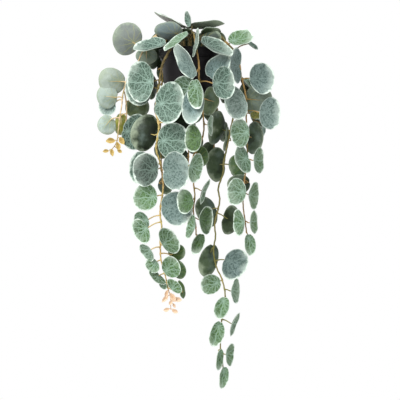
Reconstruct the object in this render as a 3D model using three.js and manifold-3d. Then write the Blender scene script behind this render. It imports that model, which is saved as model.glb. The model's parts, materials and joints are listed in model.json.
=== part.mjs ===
// Potted saxifrage: leafy stems that rise from a small black nursery pot, arch over its rim
// and hang far below it. Millimetres, +Z up, front towards -Y. The origin lies on the pot's
// axis in the plane of the rim's underside, where a hanging ring carries the pot.

import * as THREE from 'three';
import { mergeVertices } from 'three/addons/utils/BufferGeometryUtils.js';
import Module from 'manifold-3d';

const wasm = await Module();
wasm.setup();

// Pot, a round 9 cm nursery pot with a stepped rim
const RIM_RADIUS = 45;
const RIM_HEIGHT = 10;
const NECK_RADIUS = 42;
const BASE_RADIUS = 32.5;
const BODY_HEIGHT = 81;
const POT_WALL = 1.4;
const POT_SIDES = 32;
const DRAIN_COUNT = 4;
const DRAIN_RADIUS = 3.5;
const DRAIN_CIRCLE = 20;

// Soil, with a plain hole for each stem
const FIT_GAP = 0.3;
const SOIL_EDGE = 5;
const SOIL_CROWN = 8;
const HOLE_RADIUS = 2.45;
const HOLE_SIDES = 8;
const CUT_PAST = 1;

// Stems and leaf stalks
const STEM_RADIUS = 1.9;
const STEM_END_RADIUS = 1.2;
const STEM_SIDES = 5;
const ROOT_DEPTH = 18;
const UPRIGHT_RISE = 3;
const TUBE_SIDE = [0.3, 1, 0.2];
const STALK_START_RADIUS = 0.6;
const STALK_RADIUS = 0.8;
const STALK_SIDES = 3;
const STALK_RISE = 0.2;
const STALK_ARCH = 0.06;
const STALK_LANDING = 3;

// Leaf blades: a kidney-shaped sheet, as shares of its own length and width
const BLADE_THICKNESS = 0.8;
const BLADE_POINTS = 9;
const YOUNG_POINTS = 5;
const NOTCH_ANGLE = 0.14;
const NOTCH_PLACE = -0.27;
const HUB_PLACE = 0.06;
const ROOT_MIX = [0.35, 0.4, 0.25];
const DISH = 0.36;
const FOLD = 0.12;
const RIPPLE = 0.02;
const RIPPLE_COUNT = 5;

// Places are given as they show from the front, at the distance of the pot's axis, and are
// then moved along the line of sight to their own depth.
const VIEW_DISTANCE = 1600;
const VIEW_ACROSS = 14.5;
const VIEW_HEIGHT = -207;

// The side of a blade that shows from the front
const TOP = 1;
const UNDER = -1;

// Stems at the front and sides. A route runs from the pot to the stem's end, as
// [across, depth, height]. A leaf is [across, depth, height of its middle, width, length,
// turn about the vertical, direction of its tip (0 down, 90 right), lift of the side that
// shows, and that side].
const LEFT_STEM = {
  root: [-12, 1],
  route: [
    [-20, 0, 30], [-38, -2, 37], [-55, -5, 27], [-68, -7, 9], [-75, -8, -6], [-84, -8, -22],
    [-90, -8, -29], [-97, -8, -52], [-99, -8, -70], [-102, -8, -88], [-105, -8, -116],
  ],
  branches: [
    [[-96, -8, -48], [-93, -3, -62], [-92, 4, -85], [-96, 6, -112]],
  ],
  leaves: [
    [-93, 8, 26, 50, 43, -15, -116, -15, UNDER],
    [-57, -22, 14, 38, 47, -18, -69, 54, TOP],
    [-63, 2, 0, 32, 28, 0, 0, -40, UNDER],
    [-113, -6, -35, 39, 39, 10, -90, -10, UNDER],
    [-120, -4, -57, 34, 31, 5, -95, -10, UNDER],
    [-119, 10, -72, 26, 27, -15, -60, 0, TOP],
    [-121, -8, -98, 28, 27, 0, -40, 0, UNDER],
    [-76, 8, -71, 36, 34, 10, 60, 0, UNDER],
    [-79, 0, -109, 54, 38, 5, 80, 0, TOP],
    [-100, 9, -97, 20, 32, 0, 0, 0, UNDER],
  ],
};

const FRONT_LEFT_STEM = {
  root: [-8, -9],
  route: [
    [-10, -14, 28], [-15, -27, 31], [-22, -38, 22], [-29, -43, 11], [-35, -42, 0],
    [-40, -37, -11], [-44, -29, -33], [-48, -24, -61], [-49, -24, -80], [-45, -23, -98],
    [-46, -23, -112], [-49, -23, -133], [-43, -22, -154], [-40, -22, -173],
    [-39, -22, -191], [-43, -21, -219], [-43, -21, -232], [-41, -21, -245],
    [-43, -21, -257], [-43, -20, -278], [-42, -20, -294], [-36, -20, -316],
    [-32, -20, -335],
  ],
  branches: [],
  leaves: [
    [-30, 10, 50, 38, 52, 71, -163, 63, TOP],
    [-31, -17, 35, 34, 40, -8, -100, -47, UNDER],
    [-18, -51, 20, 36, 41, -54, -28, 47, TOP],
    [-28, -47, -67, 60, 44, -20, 90, 5, TOP],
    [-24, -34, -121, 50, 46, -8, 88, 0, TOP],
    [-19, -40, -165, 53, 42, -15, 92, 0, TOP],
    [-19, -26, -219, 48, 46, 0, 85, 0, TOP],
    [-32, -24, -267, 42, 29, 34, 116, 19, TOP],
    [-19, -14, -283, 24, 24, 0, 110, 0, UNDER],
    [-28, -24, -304, 32, 26, 15, 125, 0, TOP],
    [-15, -16, -308, 28, 20, 20, 110, 0, UNDER],
    [-23, -24, -332, 26, 15, 20, 135, 10, TOP],
    [-10, -14, -337, 30, 14, 58, 122, 0, UNDER],
    [-66, -17, -109, 56, 38, 0, -105, 0, UNDER],
    [-63, -28, -163, 49, 38, -15, -92, 0, TOP],
    [-70, -16, -160, 46, 36, -15, -90, 0, TOP],
    [-64, -22, -203, 38, 36, -8, -85, 0, TOP],
    [-70, -22, -252, 37, 24, -15, -62, 0, TOP],
    [-70, -14, -238, 28, 22, -10, -75, 0, TOP],
    [-61, -22, -282, 30, 22, -42, -65, -25, TOP],
    [-54, -20, -302, 24, 18, -10, -45, 0, TOP],
    [-49, -22, -321, 30, 20, 47, -58, 42, TOP],
    [-39, -22, -331, 13, 9, 0, -40, 0, TOP],
    [-70, -30, -36, 57, 42, -18, -90, 0, TOP],
    [-74, -20, -46, 50, 38, -10, -85, 0, TOP],
    [-9, -29, -98, 38, 32, 0, 85, 0, UNDER],
  ],
};

const FRONT_STEM = {
  root: [2, -10],
  route: [
    [2, -15, 28], [4, -25, 36], [6, -37, 32], [8, -47, 18], [11, -51, 3], [13, -51, -12],
    [13, -49, -30], [16, -47, -60], [19, -45, -84], [20, -43, -106], [14, -42, -128],
    [4, -41, -146], [5, -39, -180], [7, -38, -201], [5, -37, -223], [8, -36, -242],
    [9, -36, -258],
  ],
  branches: [],
  leaves: [
    [-1, -6, 56, 20, 23, -65, -175, -12, TOP],
    [-3, -68, -4, 41, 52, -58, -164, -27, TOP],
    [12, -60, 20, 42, 22, -76, 88, 9, TOP],
    [11, -70, -54, 28, 42, -40, 8, 0, TOP],
    [-9, -40, -45, 32, 36, 0, -80, 0, TOP],
    [5, -61, -71, 30, 52, -10, -8, 0, TOP],
    [6, -50, -118, 39, 27, -28, -90, 0, TOP],
    [6, -46, -161, 44, 24, 40, 70, 0, TOP],
    [18, -38, -194, 39, 24, 76, 85, -19, TOP],
    [-6, -44, -209, 35, 26, -25, -80, 0, TOP],
    [21, -34, -236, 39, 29, 47, 85, 0, TOP],
    [3, -41, -246, 34, 19, -51, -99, 11, TOP],
    [11, -36, -271, 17, 32, 10, -20, 0, TOP],
    [33, -39, -64, 42, 34, 48, 83, -7, UNDER],
    [47, -54, -38, 48, 34, 25, 92, 1, TOP],
    [27, -44, -99, 30, 24, 74, 85, 0, TOP],
    [19, -28, -144, 28, 22, 30, 88, -1, UNDER],
  ],
};

const RIGHT_STEM = {
  root: [9, 4],
  route: [
    [15, 6, 29], [34, 10, 36], [50, 13, 24], [57, 14, 0], [61, 14, -40], [63, 14, -81],
    [59, 13, -104], [52, 12, -138], [49, 12, -152], [48, 12, -168], [41, 12, -190],
    [43, 12, -209], [36, 12, -240], [37, 12, -260], [34, 11, -281], [39, 10, -306],
    [46, 8, -321], [51, 6, -346], [46, 4, -380], [44, 3, -417], [47, 2, -440],
  ],
  branches: [],
  leaves: [
    [22, 13, 42, 34, 58, 48, 138, -83, UNDER],
    [30, 6, 34, 30, 29, 7, 98, -75, UNDER],
    [56, 18, -120, 38, 24, 77, -92, -10, UNDER],
    [42, 6, -103, 50, 34, 48, -100, -11, UNDER],
    [36, 18, -155, 50, 32, -25, -93, 0, UNDER],
    [69, 14, -162, 22, 20, 0, 60, 0, UNDER],
    [24, 10, -224, 46, 30, 0, -64, 0, UNDER],
    [61, 18, -236, 45, 29, 30, 75, 0, UNDER],
    [27, 14, -295, 28, 48, 0, -15, 0, UNDER],
    [30, 12, -329, 29, 30, 0, -80, 0, TOP],
    [65, 4, -300, 46, 36, 0, 66, 0, TOP],
    [64, 8, -339, 35, 22, 55, 85, 0, TOP],
    [46, 0, -363, 21, 33, 0, -15, 0, TOP],
    [62, 4, -386, 38, 22, 69, 83, -19, TOP],
    [38, 2, -401, 22, 37, 15, -18, 0, TOP],
    [56, 2, -431, 33, 20, 54, 82, 0, TOP],
    [41, -4, -438, 15, 32, 48, -5, -6, TOP],
    [47, 0, -464, 17, 33, 40, -12, 0, TOP],
    [30, -2, 27, 25, 31, -20, 96, 0, UNDER],
  ],
};

const FRONT_RIGHT_STEM = {
  root: [8, -6],
  route: [
    [14, -9, 24], [31, -14, 26], [50, -14, 21], [64, -12, 10], [71, -10, -6], [74, -10, -26],
    [77, -10, -38], [81, -10, -57], [81, -10, -70], [82, -10, -100], [83, -10, -130],
    [83, -10, -154], [80, -10, -170], [78, -10, -188], [77, -10, -214], [80, -11, -238],
    [82, -12, -254],
  ],
  branches: [],
  leaves: [
    [37, -41, 11, 44, 50, 35, 47, 50, TOP],
    [42, -42, -15, 34, 40, -20, 143, 16, TOP],
    [54, -14, -20, 40, 24, 10, 80, 0, UNDER],
    [74, -16, 25, 37, 37, -10, 104, 45, TOP],
    [90, -8, 16, 14, 19, 47, 33, 43, TOP],
    [62, -24, -12, 50, 38, 60, -90, 0, TOP],
    [103, -14, -31, 45, 38, 15, 90, 0, TOP],
    [99, -2, -62, 46, 40, 0, 85, 0, UNDER],
    [114, -12, -82, 48, 34, 25, 85, 0, TOP],
    [96, -8, -84, 12, 18, 0, 80, 0, TOP],
    [67, -26, -67, 48, 32, -10, -70, 0, TOP],
    [74, -24, -110, 40, 30, -25, -85, 0, TOP],
    [96, 0, -117, 48, 32, 35, 85, 0, UNDER],
    [74, -22, -149, 42, 28, 41, -77, 11, TOP],
    [97, -12, -150, 39, 26, 55, 88, 0, TOP],
    [69, -24, -195, 39, 30, -28, -90, 0, TOP],
    [71, -4, -184, 28, 34, 0, -80, 0, UNDER],
    [90, -12, -201, 39, 26, 55, 78, 0, TOP],
    [73, -20, -240, 38, 24, -50, -88, 0, TOP],
    [90, -12, -239, 35, 24, 62, 95, 0, TOP],
    [86, -12, -272, 18, 31, 20, 5, 0, TOP],
    [70, -2, -157, 32, 28, 0, -85, 0, UNDER],
  ],
};

// Stems at the back, whose leaves follow a rule: they alternate from side to side, grow
// smaller towards the stem's end and face away from the pot.
const RULED_LARGE = 46;
const RULED_SMALL = 28;
const RULED_VARIATION = 0.08;
const RULED_LENGTH_SHARE = 0.82;
const RULED_LIFT = 55;
const RULED_LIFT_SHARE = 1 / 3;
const RULED_FAN = 0.3;
const RULED_FAN_GROWTH = 2;
const RULED_NARROWING = 0.2;
const RULED_OFFSET = 8;
const RULED_JITTER = 14;
const RULED_OUTWARD = 7;
const RULED_SAG = 0.1;

// The repeatable draw that varies them
const DRAW_SPREAD = 7919;
const DRAW_FACTOR = 16807;
const DRAW_MODULUS = 2147483647;

const BACK_LEFT_STEM = {
  root: [-9, 9],
  route: [
    [-15, 13, 26], [-26, 22, 31], [-35, 32, 24], [-38, 40, 6], [-39, 43, -22],
    [-43, 43, -62], [-43, 43, -104], [-42, 42, -146], [-40, 42, -182],
  ],
  rule: { seed: 31, first: 0, leaves: 10, start: 0.2, facing: -150, turn: 38 },
};

const BACK_STEM = {
  root: [-2, 13],
  route: [
    [-2, 20, 27], [-1, 34, 33], [0, 47, 25], [0, 56, 6], [0, 60, -28],
    [-1, 60, -66], [-2, 58, -104], [-2, 56, -136], [-3, 55, -162],
  ],
  rule: { seed: 12, first: 0, leaves: 10, start: 0.2, facing: 180, turn: 30 },
};

const BACK_RIGHT_STEM = {
  root: [6, 10],
  route: [
    [10, 16, 27], [20, 27, 32], [29, 38, 25], [35, 46, 8], [37, 49, -20], [37, 48, -60],
    [36, 47, -98], [35, 46, -134],
  ],
  rule: { seed: 27, first: 1, leaves: 8, start: 0.2, facing: 165, turn: 40 },
};

const FAR_RIGHT_STEM = {
  root: [15, 8],
  route: [
    [21, 12, 25], [38, 20, 29], [55, 27, 20], [65, 30, 2], [69, 31, -18], [76, 31, -38],
    [86, 30, -56], [91, 28, -76], [93, 27, -96],
  ],
  rule: { seed: 40, first: 1, leaves: 5, start: 0.62, facing: 110, turn: 40 },
};

// Tufts of golden young leaves at two stem ends, each on a thin stem of its own
const YOUNG_THICKNESS = 1.2;
const YOUNG_STEM_RADIUS = 0.8;
const YOUNG_LEFT = {
  route: [[-105, -8, -116.6], [-106, -8, -122], [-109, -8, -128], [-114, -8, -134]],
  leaves: [
    [-115, -9, -121, 8, 14, 0, -84, 0, TOP],
    [-99, -9, -121, 8, 12, 0, 35, 0, TOP],
    [-104, -10, -129, 7, 12, 0, 10, 0, TOP],
    [-102, -9, -136, 5, 8, 0, 50, 0, TOP],
    [-122, -9, -136, 5, 9, 0, -80, 0, TOP],
    [-113, -10, -138, 6, 11, 0, 12, 0, TOP],
  ],
};
const YOUNG_LOW = {
  route: [[-31.7, -20, -336.2], [-29, -20, -345], [-28, -20, -354], [-28, -20, -365]],
  leaves: [
    [-34, -21, -343, 5, 12, 0, -8, 0, TOP],
    [-36, -21, -350, 6, 13, 0, -40, 0, TOP],
    [-25, -22, -348, 8, 15, 0, 30, 0, TOP],
    [-18, -21, -351, 7, 12, 0, 72, 0, TOP],
    [-28, -22, -356, 5, 8, 0, -30, 0, TOP],
    [-23, -20, -360, 4, 7, 0, 30, 0, TOP],
    [-34, -21, -366, 6, 9, 0, -75, 0, TOP],
    [-22, -21, -368, 6, 10, 0, 55, 0, TOP],
  ],
};

const degrees = THREE.MathUtils.degToRad;

// A closed geometry as a solid, with its shared corners merged and its empty faces dropped
function solidOf(geometry) {
  const bare = geometry.clone();
  bare.deleteAttribute('normal');
  bare.deleteAttribute('uv');
  const merged = mergeVertices(bare, 1e-4);
  const corners = merged.index.array;
  const kept = [];
  for (let i = 0; i < corners.length; i += 3) {
    const [a, b, c] = [corners[i], corners[i + 1], corners[i + 2]];
    if (a !== b && b !== c && c !== a) {
      kept.push(a, b, c);
    }
  }
  const vertProperties = new Float32Array(merged.attributes.position.array);
  const triVerts = new Uint32Array(kept);
  return new wasm.Manifold(new wasm.Mesh({ numProp: 3, vertProperties, triVerts }));
}

// A solid back as a geometry
function geometryOf(solid) {
  const mesh = solid.getMesh();
  const geometry = new THREE.BufferGeometry();
  geometry.setAttribute('position', new THREE.BufferAttribute(mesh.vertProperties, 3));
  geometry.setIndex(new THREE.BufferAttribute(mesh.triVerts, 1));
  geometry.computeVertexNormals();
  return geometry;
}

// Solids joined in one body, without the loose scraps of a join
function joined(solids) {
  const whole = solids.reduce((sum, piece) => sum.add(piece));
  return whole.decompose().reduce((best, body) => (body.volume() > best.volume() ? body : best));
}

// A geometry from corners and triangles
function faceted(corners, triangles) {
  const geometry = new THREE.BufferGeometry();
  const places = corners.flatMap((corner) => [corner.x, corner.y, corner.z]);
  geometry.setAttribute('position', new THREE.Float32BufferAttribute(places, 3));
  geometry.setIndex(triangles.flat());
  return geometry;
}

// A place given as it shows from the front, moved along the line of sight to its depth
function placed([across, depth, height]) {
  const reach = 1 + depth / VIEW_DISTANCE;
  return new THREE.Vector3(
    VIEW_ACROSS + (across - VIEW_ACROSS) * reach,
    depth,
    VIEW_HEIGHT + (height - VIEW_HEIGHT) * reach,
  );
}

// A closed tapered tube through a row of places
function tube(spots, sides, startRadius, endRadius) {
  const steps = spots.length - 1;
  const corners = [];
  const triangles = [];
  const normal = new THREE.Vector3(...TUBE_SIDE);
  for (let i = 0; i <= steps; i += 1) {
    const ahead = spots[Math.min(i + 1, steps)].clone().sub(spots[Math.max(i - 1, 0)]).normalize();
    normal.addScaledVector(ahead, -normal.dot(ahead)).normalize();
    const beside = new THREE.Vector3().crossVectors(ahead, normal);
    const radius = THREE.MathUtils.lerp(startRadius, endRadius, i / steps);
    for (let j = 0; j < sides; j += 1) {
      const angle = (2 * Math.PI * j) / sides;
      const spot = spots[i].clone().addScaledVector(normal, radius * Math.cos(angle));
      corners.push(spot.addScaledVector(beside, radius * Math.sin(angle)));
    }
  }
  for (let i = 0; i < steps; i += 1) {
    for (let j = 0; j < sides; j += 1) {
      const near = i * sides + j;
      const next = i * sides + ((j + 1) % sides);
      triangles.push([near, next, near + sides], [next, next + sides, near + sides]);
    }
  }
  const last = steps * sides;
  for (let j = 1; j < sides - 1; j += 1) {
    triangles.push([0, j + 1, j], [last, last + j, last + j + 1]);
  }
  return solidOf(faceted(corners, triangles));
}

// The directions of a leaf: its tip, its upper side and its width
function leafAxes([, , , , , turn, tip, lift, side]) {
  const [t, p, e] = [degrees(turn), degrees(tip), degrees(lift)];
  const shown = new THREE.Vector3(
    Math.sin(t) * Math.cos(e),
    -Math.cos(t) * Math.cos(e),
    Math.sin(e),
  );
  const down = new THREE.Vector3(
    Math.sin(t) * Math.sin(e),
    -Math.cos(t) * Math.sin(e),
    -Math.cos(e),
  );
  const right = new THREE.Vector3(Math.cos(t), Math.sin(t), 0);
  const along = down.multiplyScalar(Math.cos(p)).addScaledVector(right, Math.sin(p));
  const upper = shown.multiplyScalar(side);
  const over = new THREE.Vector3().crossVectors(upper, along);
  return { along, upper, over };
}

// A point of a blade, from its shares of the length and width
function bladePoint(leaf, axes, p, q, raise) {
  const [across, depth, height, wide, long] = leaf;
  const hollow = DISH * (p * p + q * q) + FOLD * Math.abs(q) + raise;
  const spot = placed([across, depth, height]);
  spot.addScaledVector(axes.along, p * long);
  spot.addScaledVector(axes.over, q * wide);
  return spot.addScaledVector(axes.upper, (hollow * (long + wide)) / 2);
}

// The corners of a blade's upper face: its hub, its notch, then its rim
function bladeCorners(leaf, index, points) {
  const axes = leafAxes(leaf);
  const corners = [bladePoint(leaf, axes, HUB_PLACE, 0, 0)];
  corners.push(bladePoint(leaf, axes, NOTCH_PLACE, 0, 0));
  for (let i = 0; i < points; i += 1) {
    const angle = NOTCH_ANGLE + (2 * Math.PI - 2 * NOTCH_ANGLE) * (i / (points - 1));
    const raise = RIPPLE * Math.sin(RIPPLE_COUNT * angle + index);
    const [p, q] = [-0.5 * Math.cos(angle), 0.5 * Math.sin(angle)];
    corners.push(bladePoint(leaf, axes, p, q, raise));
  }
  return corners;
}

// The blade of one leaf: notched at its root, dished and rippled, with the same triangles
// on its upper and lower faces
function blade(upper, upward, thickness) {
  const count = upper.length;
  const lower = upper.map((spot) => spot.clone().addScaledVector(upward, -thickness));
  const triangles = [];
  for (let i = 1; i < count; i += 1) {
    const next = i === count - 1 ? 1 : i + 1;
    triangles.push([0, next, i], [count, count + i, count + next]);
    triangles.push([i, next, count + i], [next, count + next, count + i]);
  }
  return solidOf(faceted([...upper, ...lower], triangles));
}

// The place nearest to a goal on a row of places joined by straight lines
function nearestOn(spots, goal) {
  let best = spots[0];
  for (let i = 0; i < spots.length - 1; i += 1) {
    const line = new THREE.Line3(spots[i], spots[i + 1]);
    const spot = line.closestPointToPoint(goal, true, new THREE.Vector3());
    best = spot.distanceTo(goal) < best.distanceTo(goal) ? spot : best;
  }
  return best;
}

// The stalk of one leaf: it leaves the stem a little above the blade's root, arches over
// and meets the blade squarely from below, between its hub, its notch and its first lobe
function stalk(upper, upward, spots, thickness) {
  const root = new THREE.Vector3();
  ROOT_MIX.forEach((share, i) => root.addScaledVector(upper[i], share));
  root.addScaledVector(upward, -0.5 * thickness);
  const landing = root.clone().addScaledVector(upward, -STALK_LANDING * thickness);
  const reach = nearestOn(spots, landing).distanceTo(landing);
  const above = landing.clone().add(new THREE.Vector3(0, 0, STALK_RISE * reach));
  const start = nearestOn(spots, above);
  const bend = start.clone().lerp(landing, 0.5);
  bend.z += STALK_ARCH * reach;
  return tube([start, bend, landing, root], STALK_SIDES, STALK_START_RADIUS, STALK_RADIUS);
}

// A leaf, as the solids of its stalk and its blade
function leafPieces(leaf, index, spots, thickness, points) {
  const upper = bladeCorners(leaf, index, points);
  const upward = leafAxes(leaf).upper;
  return [stalk(upper, upward, spots, thickness), blade(upper, upward, thickness)];
}

// The line of a stem: an upright foot in its hole in the soil, then its route
function stemLine(stem) {
  const [x, y] = stem.root;
  const foot = [-ROOT_DEPTH, SOIL_EDGE].map((z) => new THREE.Vector3(x, y, z));
  const top = new THREE.Vector3(x, y, SOIL_CROWN + UPRIGHT_RISE);
  return { foot, free: [top, ...stem.route.map(placed)] };
}

// A share of the way along a route, from point to point in straight lines
function alongRoute(route, share) {
  const place = share * (route.length - 1);
  const first = Math.min(Math.floor(place), route.length - 2);
  const part = place - first;
  return route[first].map((value, axis) => value + (route[first + 1][axis] - value) * part);
}

// A repeatable row of numbers between 0 and 1
function seededDraw(seed) {
  let state = seed * DRAW_SPREAD;
  return () => {
    state = (state * DRAW_FACTOR) % DRAW_MODULUS;
    return state / DRAW_MODULUS;
  };
}

// The leaves of a stem at the back
function ruledLeaves({ route, rule }) {
  const draw = seededDraw(rule.seed);
  const facing = degrees(rule.facing);
  const leaves = [];
  for (let k = 0; k < rule.leaves; k += 1) {
    const share = k / (rule.leaves - 1);
    const [across, depth, height] = alongRoute(route, rule.start + (1 - rule.start) * share);
    const hand = (k + rule.first) % 2 === 0 ? 1 : -1;
    const variation = 1 + RULED_VARIATION * (2 * draw() - 1);
    const wide = THREE.MathUtils.lerp(RULED_LARGE, RULED_SMALL, share) * variation;
    const turn = rule.facing + hand * (rule.turn + RULED_JITTER * (draw() - 0.5));
    const fan = Math.min(1, RULED_FAN + RULED_FAN_GROWTH * share) * (1 - RULED_NARROWING * share);
    const tip = hand * (90 + RULED_JITTER * (draw() - 0.5)) * fan;
    const raised = RULED_LIFT * Math.max(0, 1 - share / RULED_LIFT_SHARE);
    const lift = raised + RULED_JITTER * (draw() - 0.5);
    const outward = RULED_OUTWARD * (0.5 + draw());
    const place = [
      across + hand * RULED_OFFSET * Math.cos(facing) + outward * Math.sin(facing),
      depth + hand * RULED_OFFSET * Math.sin(facing) - outward * Math.cos(facing),
      height - RULED_SAG * wide,
    ];
    leaves.push([...place, wide, wide * RULED_LENGTH_SHARE, turn, tip, lift, TOP]);
  }
  return leaves;
}

// A leafy stem, with its branches, stalks and blades joined in one body
function leafyStem(stem) {
  const leaves = stem.rule ? ruledLeaves(stem) : stem.leaves;
  const { foot, free } = stemLine(stem);
  const branches = (stem.branches ?? []).map((route) => route.map(placed));
  const lines = [free, ...branches];
  const pieces = [tube([...foot, ...free], STEM_SIDES, STEM_RADIUS, STEM_END_RADIUS)];
  for (const branch of branches) {
    pieces.push(tube(branch, STEM_SIDES, STEM_END_RADIUS, STEM_END_RADIUS));
  }
  leaves.forEach((leaf, index) => {
    const middle = placed(leaf);
    const away = (line) => nearestOn(line, middle).distanceTo(middle);
    const carrier = lines.reduce((best, line) => (away(line) < away(best) ? line : best));
    pieces.push(...leafPieces(leaf, index, carrier, BLADE_THICKNESS, BLADE_POINTS));
  });
  return joined(pieces);
}

// A tuft of young leaves on its thin stem
function youngTuft(tuft) {
  const line = tuft.route.map(placed);
  const pieces = [tube(line, STALK_SIDES, YOUNG_STEM_RADIUS, YOUNG_STEM_RADIUS)];
  tuft.leaves.forEach((leaf, index) => {
    pieces.push(...leafPieces(leaf, index, line, YOUNG_THICKNESS, YOUNG_POINTS));
  });
  return joined(pieces);
}

// A solid of revolution from a profile of [radius, height] points that closes on the axis
function turned(profile, sides) {
  const points = profile.map(([radius, height]) => new THREE.Vector2(radius, height));
  return solidOf(new THREE.LatheGeometry(points, sides).rotateX(Math.PI / 2));
}

// An upright bar that cuts a hole, from one height to another
function bar(x, y, low, high, radius) {
  const geometry = new THREE.CylinderGeometry(radius, radius, high - low, HOLE_SIDES);
  geometry.rotateX(Math.PI / 2);
  geometry.translate(x, y, (low + high) / 2);
  return solidOf(geometry);
}

function potSolid() {
  const inside = NECK_RADIUS - POT_WALL;
  const floor = POT_WALL - BODY_HEIGHT;
  let pot = turned([
    [0, -BODY_HEIGHT], [BASE_RADIUS, -BODY_HEIGHT], [NECK_RADIUS, 0], [RIM_RADIUS, 0],
    [RIM_RADIUS, RIM_HEIGHT], [RIM_RADIUS - POT_WALL, RIM_HEIGHT],
    [RIM_RADIUS - POT_WALL, POT_WALL], [inside, POT_WALL],
    [BASE_RADIUS - POT_WALL, floor], [0, floor],
  ], POT_SIDES);
  for (let i = 0; i < DRAIN_COUNT; i += 1) {
    const angle = (2 * Math.PI * (i + 0.5)) / DRAIN_COUNT;
    const [x, y] = [DRAIN_CIRCLE * Math.cos(angle), DRAIN_CIRCLE * Math.sin(angle)];
    const hole = bar(x, y, -BODY_HEIGHT - CUT_PAST, floor + CUT_PAST, DRAIN_RADIUS);
    pot = pot.subtract(hole);
  }
  return pot;
}

function soilSolid(stems) {
  const neck = NECK_RADIUS - POT_WALL - FIT_GAP;
  const foot = BASE_RADIUS - POT_WALL - FIT_GAP;
  const floor = POT_WALL + FIT_GAP - BODY_HEIGHT;
  const lip = RIM_RADIUS - POT_WALL - FIT_GAP;
  const ledge = POT_WALL + FIT_GAP;
  let soil = turned([
    [0, floor], [foot, floor], [neck, ledge], [lip, ledge], [lip, SOIL_EDGE],
    [lip / 2, SOIL_CROWN], [0, SOIL_CROWN],
  ], POT_SIDES);
  for (const { root } of stems) {
    const [x, y] = root;
    const hole = bar(x, y, -ROOT_DEPTH - FIT_GAP, SOIL_CROWN + CUT_PAST, HOLE_RADIUS);
    soil = soil.subtract(hole);
  }
  return soil;
}

function finish(color, roughness) {
  return new THREE.MeshStandardMaterial({ color, roughness, metalness: 0 });
}

const stems = {
  left_stem: LEFT_STEM,
  front_left_stem: FRONT_LEFT_STEM,
  front_stem: FRONT_STEM,
  right_stem: RIGHT_STEM,
  front_right_stem: FRONT_RIGHT_STEM,
  back_left_stem: BACK_LEFT_STEM,
  back_stem: BACK_STEM,
  back_right_stem: BACK_RIGHT_STEM,
  far_right_stem: FAR_RIGHT_STEM,
};

const plant = new THREE.Group();

function place(name, solid, material) {
  const mesh = new THREE.Mesh(geometryOf(solid), material);
  mesh.name = name;
  plant.add(mesh);
}

place('pot', potSolid(), finish(0x232124, 0.55));
place('soil', soilSolid(Object.values(stems)), finish(0x3a2b20, 0.95));
for (const [name, stem] of Object.entries(stems)) {
  place(name, leafyStem(stem), finish(0x829b8c, 0.6));
}
place('young_leaves_left', youngTuft(YOUNG_LEFT), finish(0xd7a046, 0.6));
place('young_leaves_low', youngTuft(YOUNG_LOW), finish(0xe1b482, 0.6));

export default plant;
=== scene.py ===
"""Potted saxifrage: leafy stems rise from a small black nursery pot and hang far below it.

Metres, +Z up, front towards -Y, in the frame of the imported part. Leaves and routes are listed
in millimetres as they show from the front, and are placed by the same rule as the solids.
"""

import json
import logging
import math
import random
from dataclasses import dataclass, field
from enum import Enum
from typing import Callable, Optional, Sequence, Union

import bmesh
import bpy
from mathutils import Matrix, Vector, noise

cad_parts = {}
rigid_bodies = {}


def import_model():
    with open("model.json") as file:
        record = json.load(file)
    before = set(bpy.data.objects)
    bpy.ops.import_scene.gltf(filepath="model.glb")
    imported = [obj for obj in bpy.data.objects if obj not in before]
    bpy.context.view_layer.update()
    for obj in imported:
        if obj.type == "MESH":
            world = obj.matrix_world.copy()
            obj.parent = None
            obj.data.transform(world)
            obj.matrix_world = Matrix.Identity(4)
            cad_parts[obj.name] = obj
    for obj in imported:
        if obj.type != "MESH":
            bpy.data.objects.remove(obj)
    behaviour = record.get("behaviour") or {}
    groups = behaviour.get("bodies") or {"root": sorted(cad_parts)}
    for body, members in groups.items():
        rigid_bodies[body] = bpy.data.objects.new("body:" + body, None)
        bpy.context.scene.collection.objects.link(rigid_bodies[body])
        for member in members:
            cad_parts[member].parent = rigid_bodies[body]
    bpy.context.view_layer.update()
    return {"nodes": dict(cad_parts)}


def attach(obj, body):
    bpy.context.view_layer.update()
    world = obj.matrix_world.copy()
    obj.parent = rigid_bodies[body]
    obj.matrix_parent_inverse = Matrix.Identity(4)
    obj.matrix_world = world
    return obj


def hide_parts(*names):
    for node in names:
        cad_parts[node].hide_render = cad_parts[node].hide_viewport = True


log = logging.getLogger("saxifrage")

MM = 0.001
BODY = "root"
PLANT_CREASE = 60.0

# The view that the places are given in
VIEW_DISTANCE = 1600 * MM
VIEW_ACROSS = 14.5 * MM
VIEW_HEIGHT = -207 * MM
VIEW_WIDTH = 580 * MM

Colour = tuple[float, float, float]
Socket = Union[bpy.types.NodeSocket, float, Sequence[float]]


class Side(Enum):
    """The side of a blade that shows from the front."""

    TOP = 1
    UNDER = -1


def linear(red: int, green: int, blue: int) -> Colour:
    """A colour of 0 to 255 a channel as Blender's linear values.

    Args:
        red: The red channel.
        green: The green channel.
        blue: The blue channel.

    Returns:
        The three linear channels, from 0 to 1.
    """
    shares = (channel / 255 for channel in (red, green, blue))
    return tuple(s / 12.92 if s <= 0.04045 else ((s + 0.055) / 1.055) ** 2.4 for s in shares)


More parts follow.
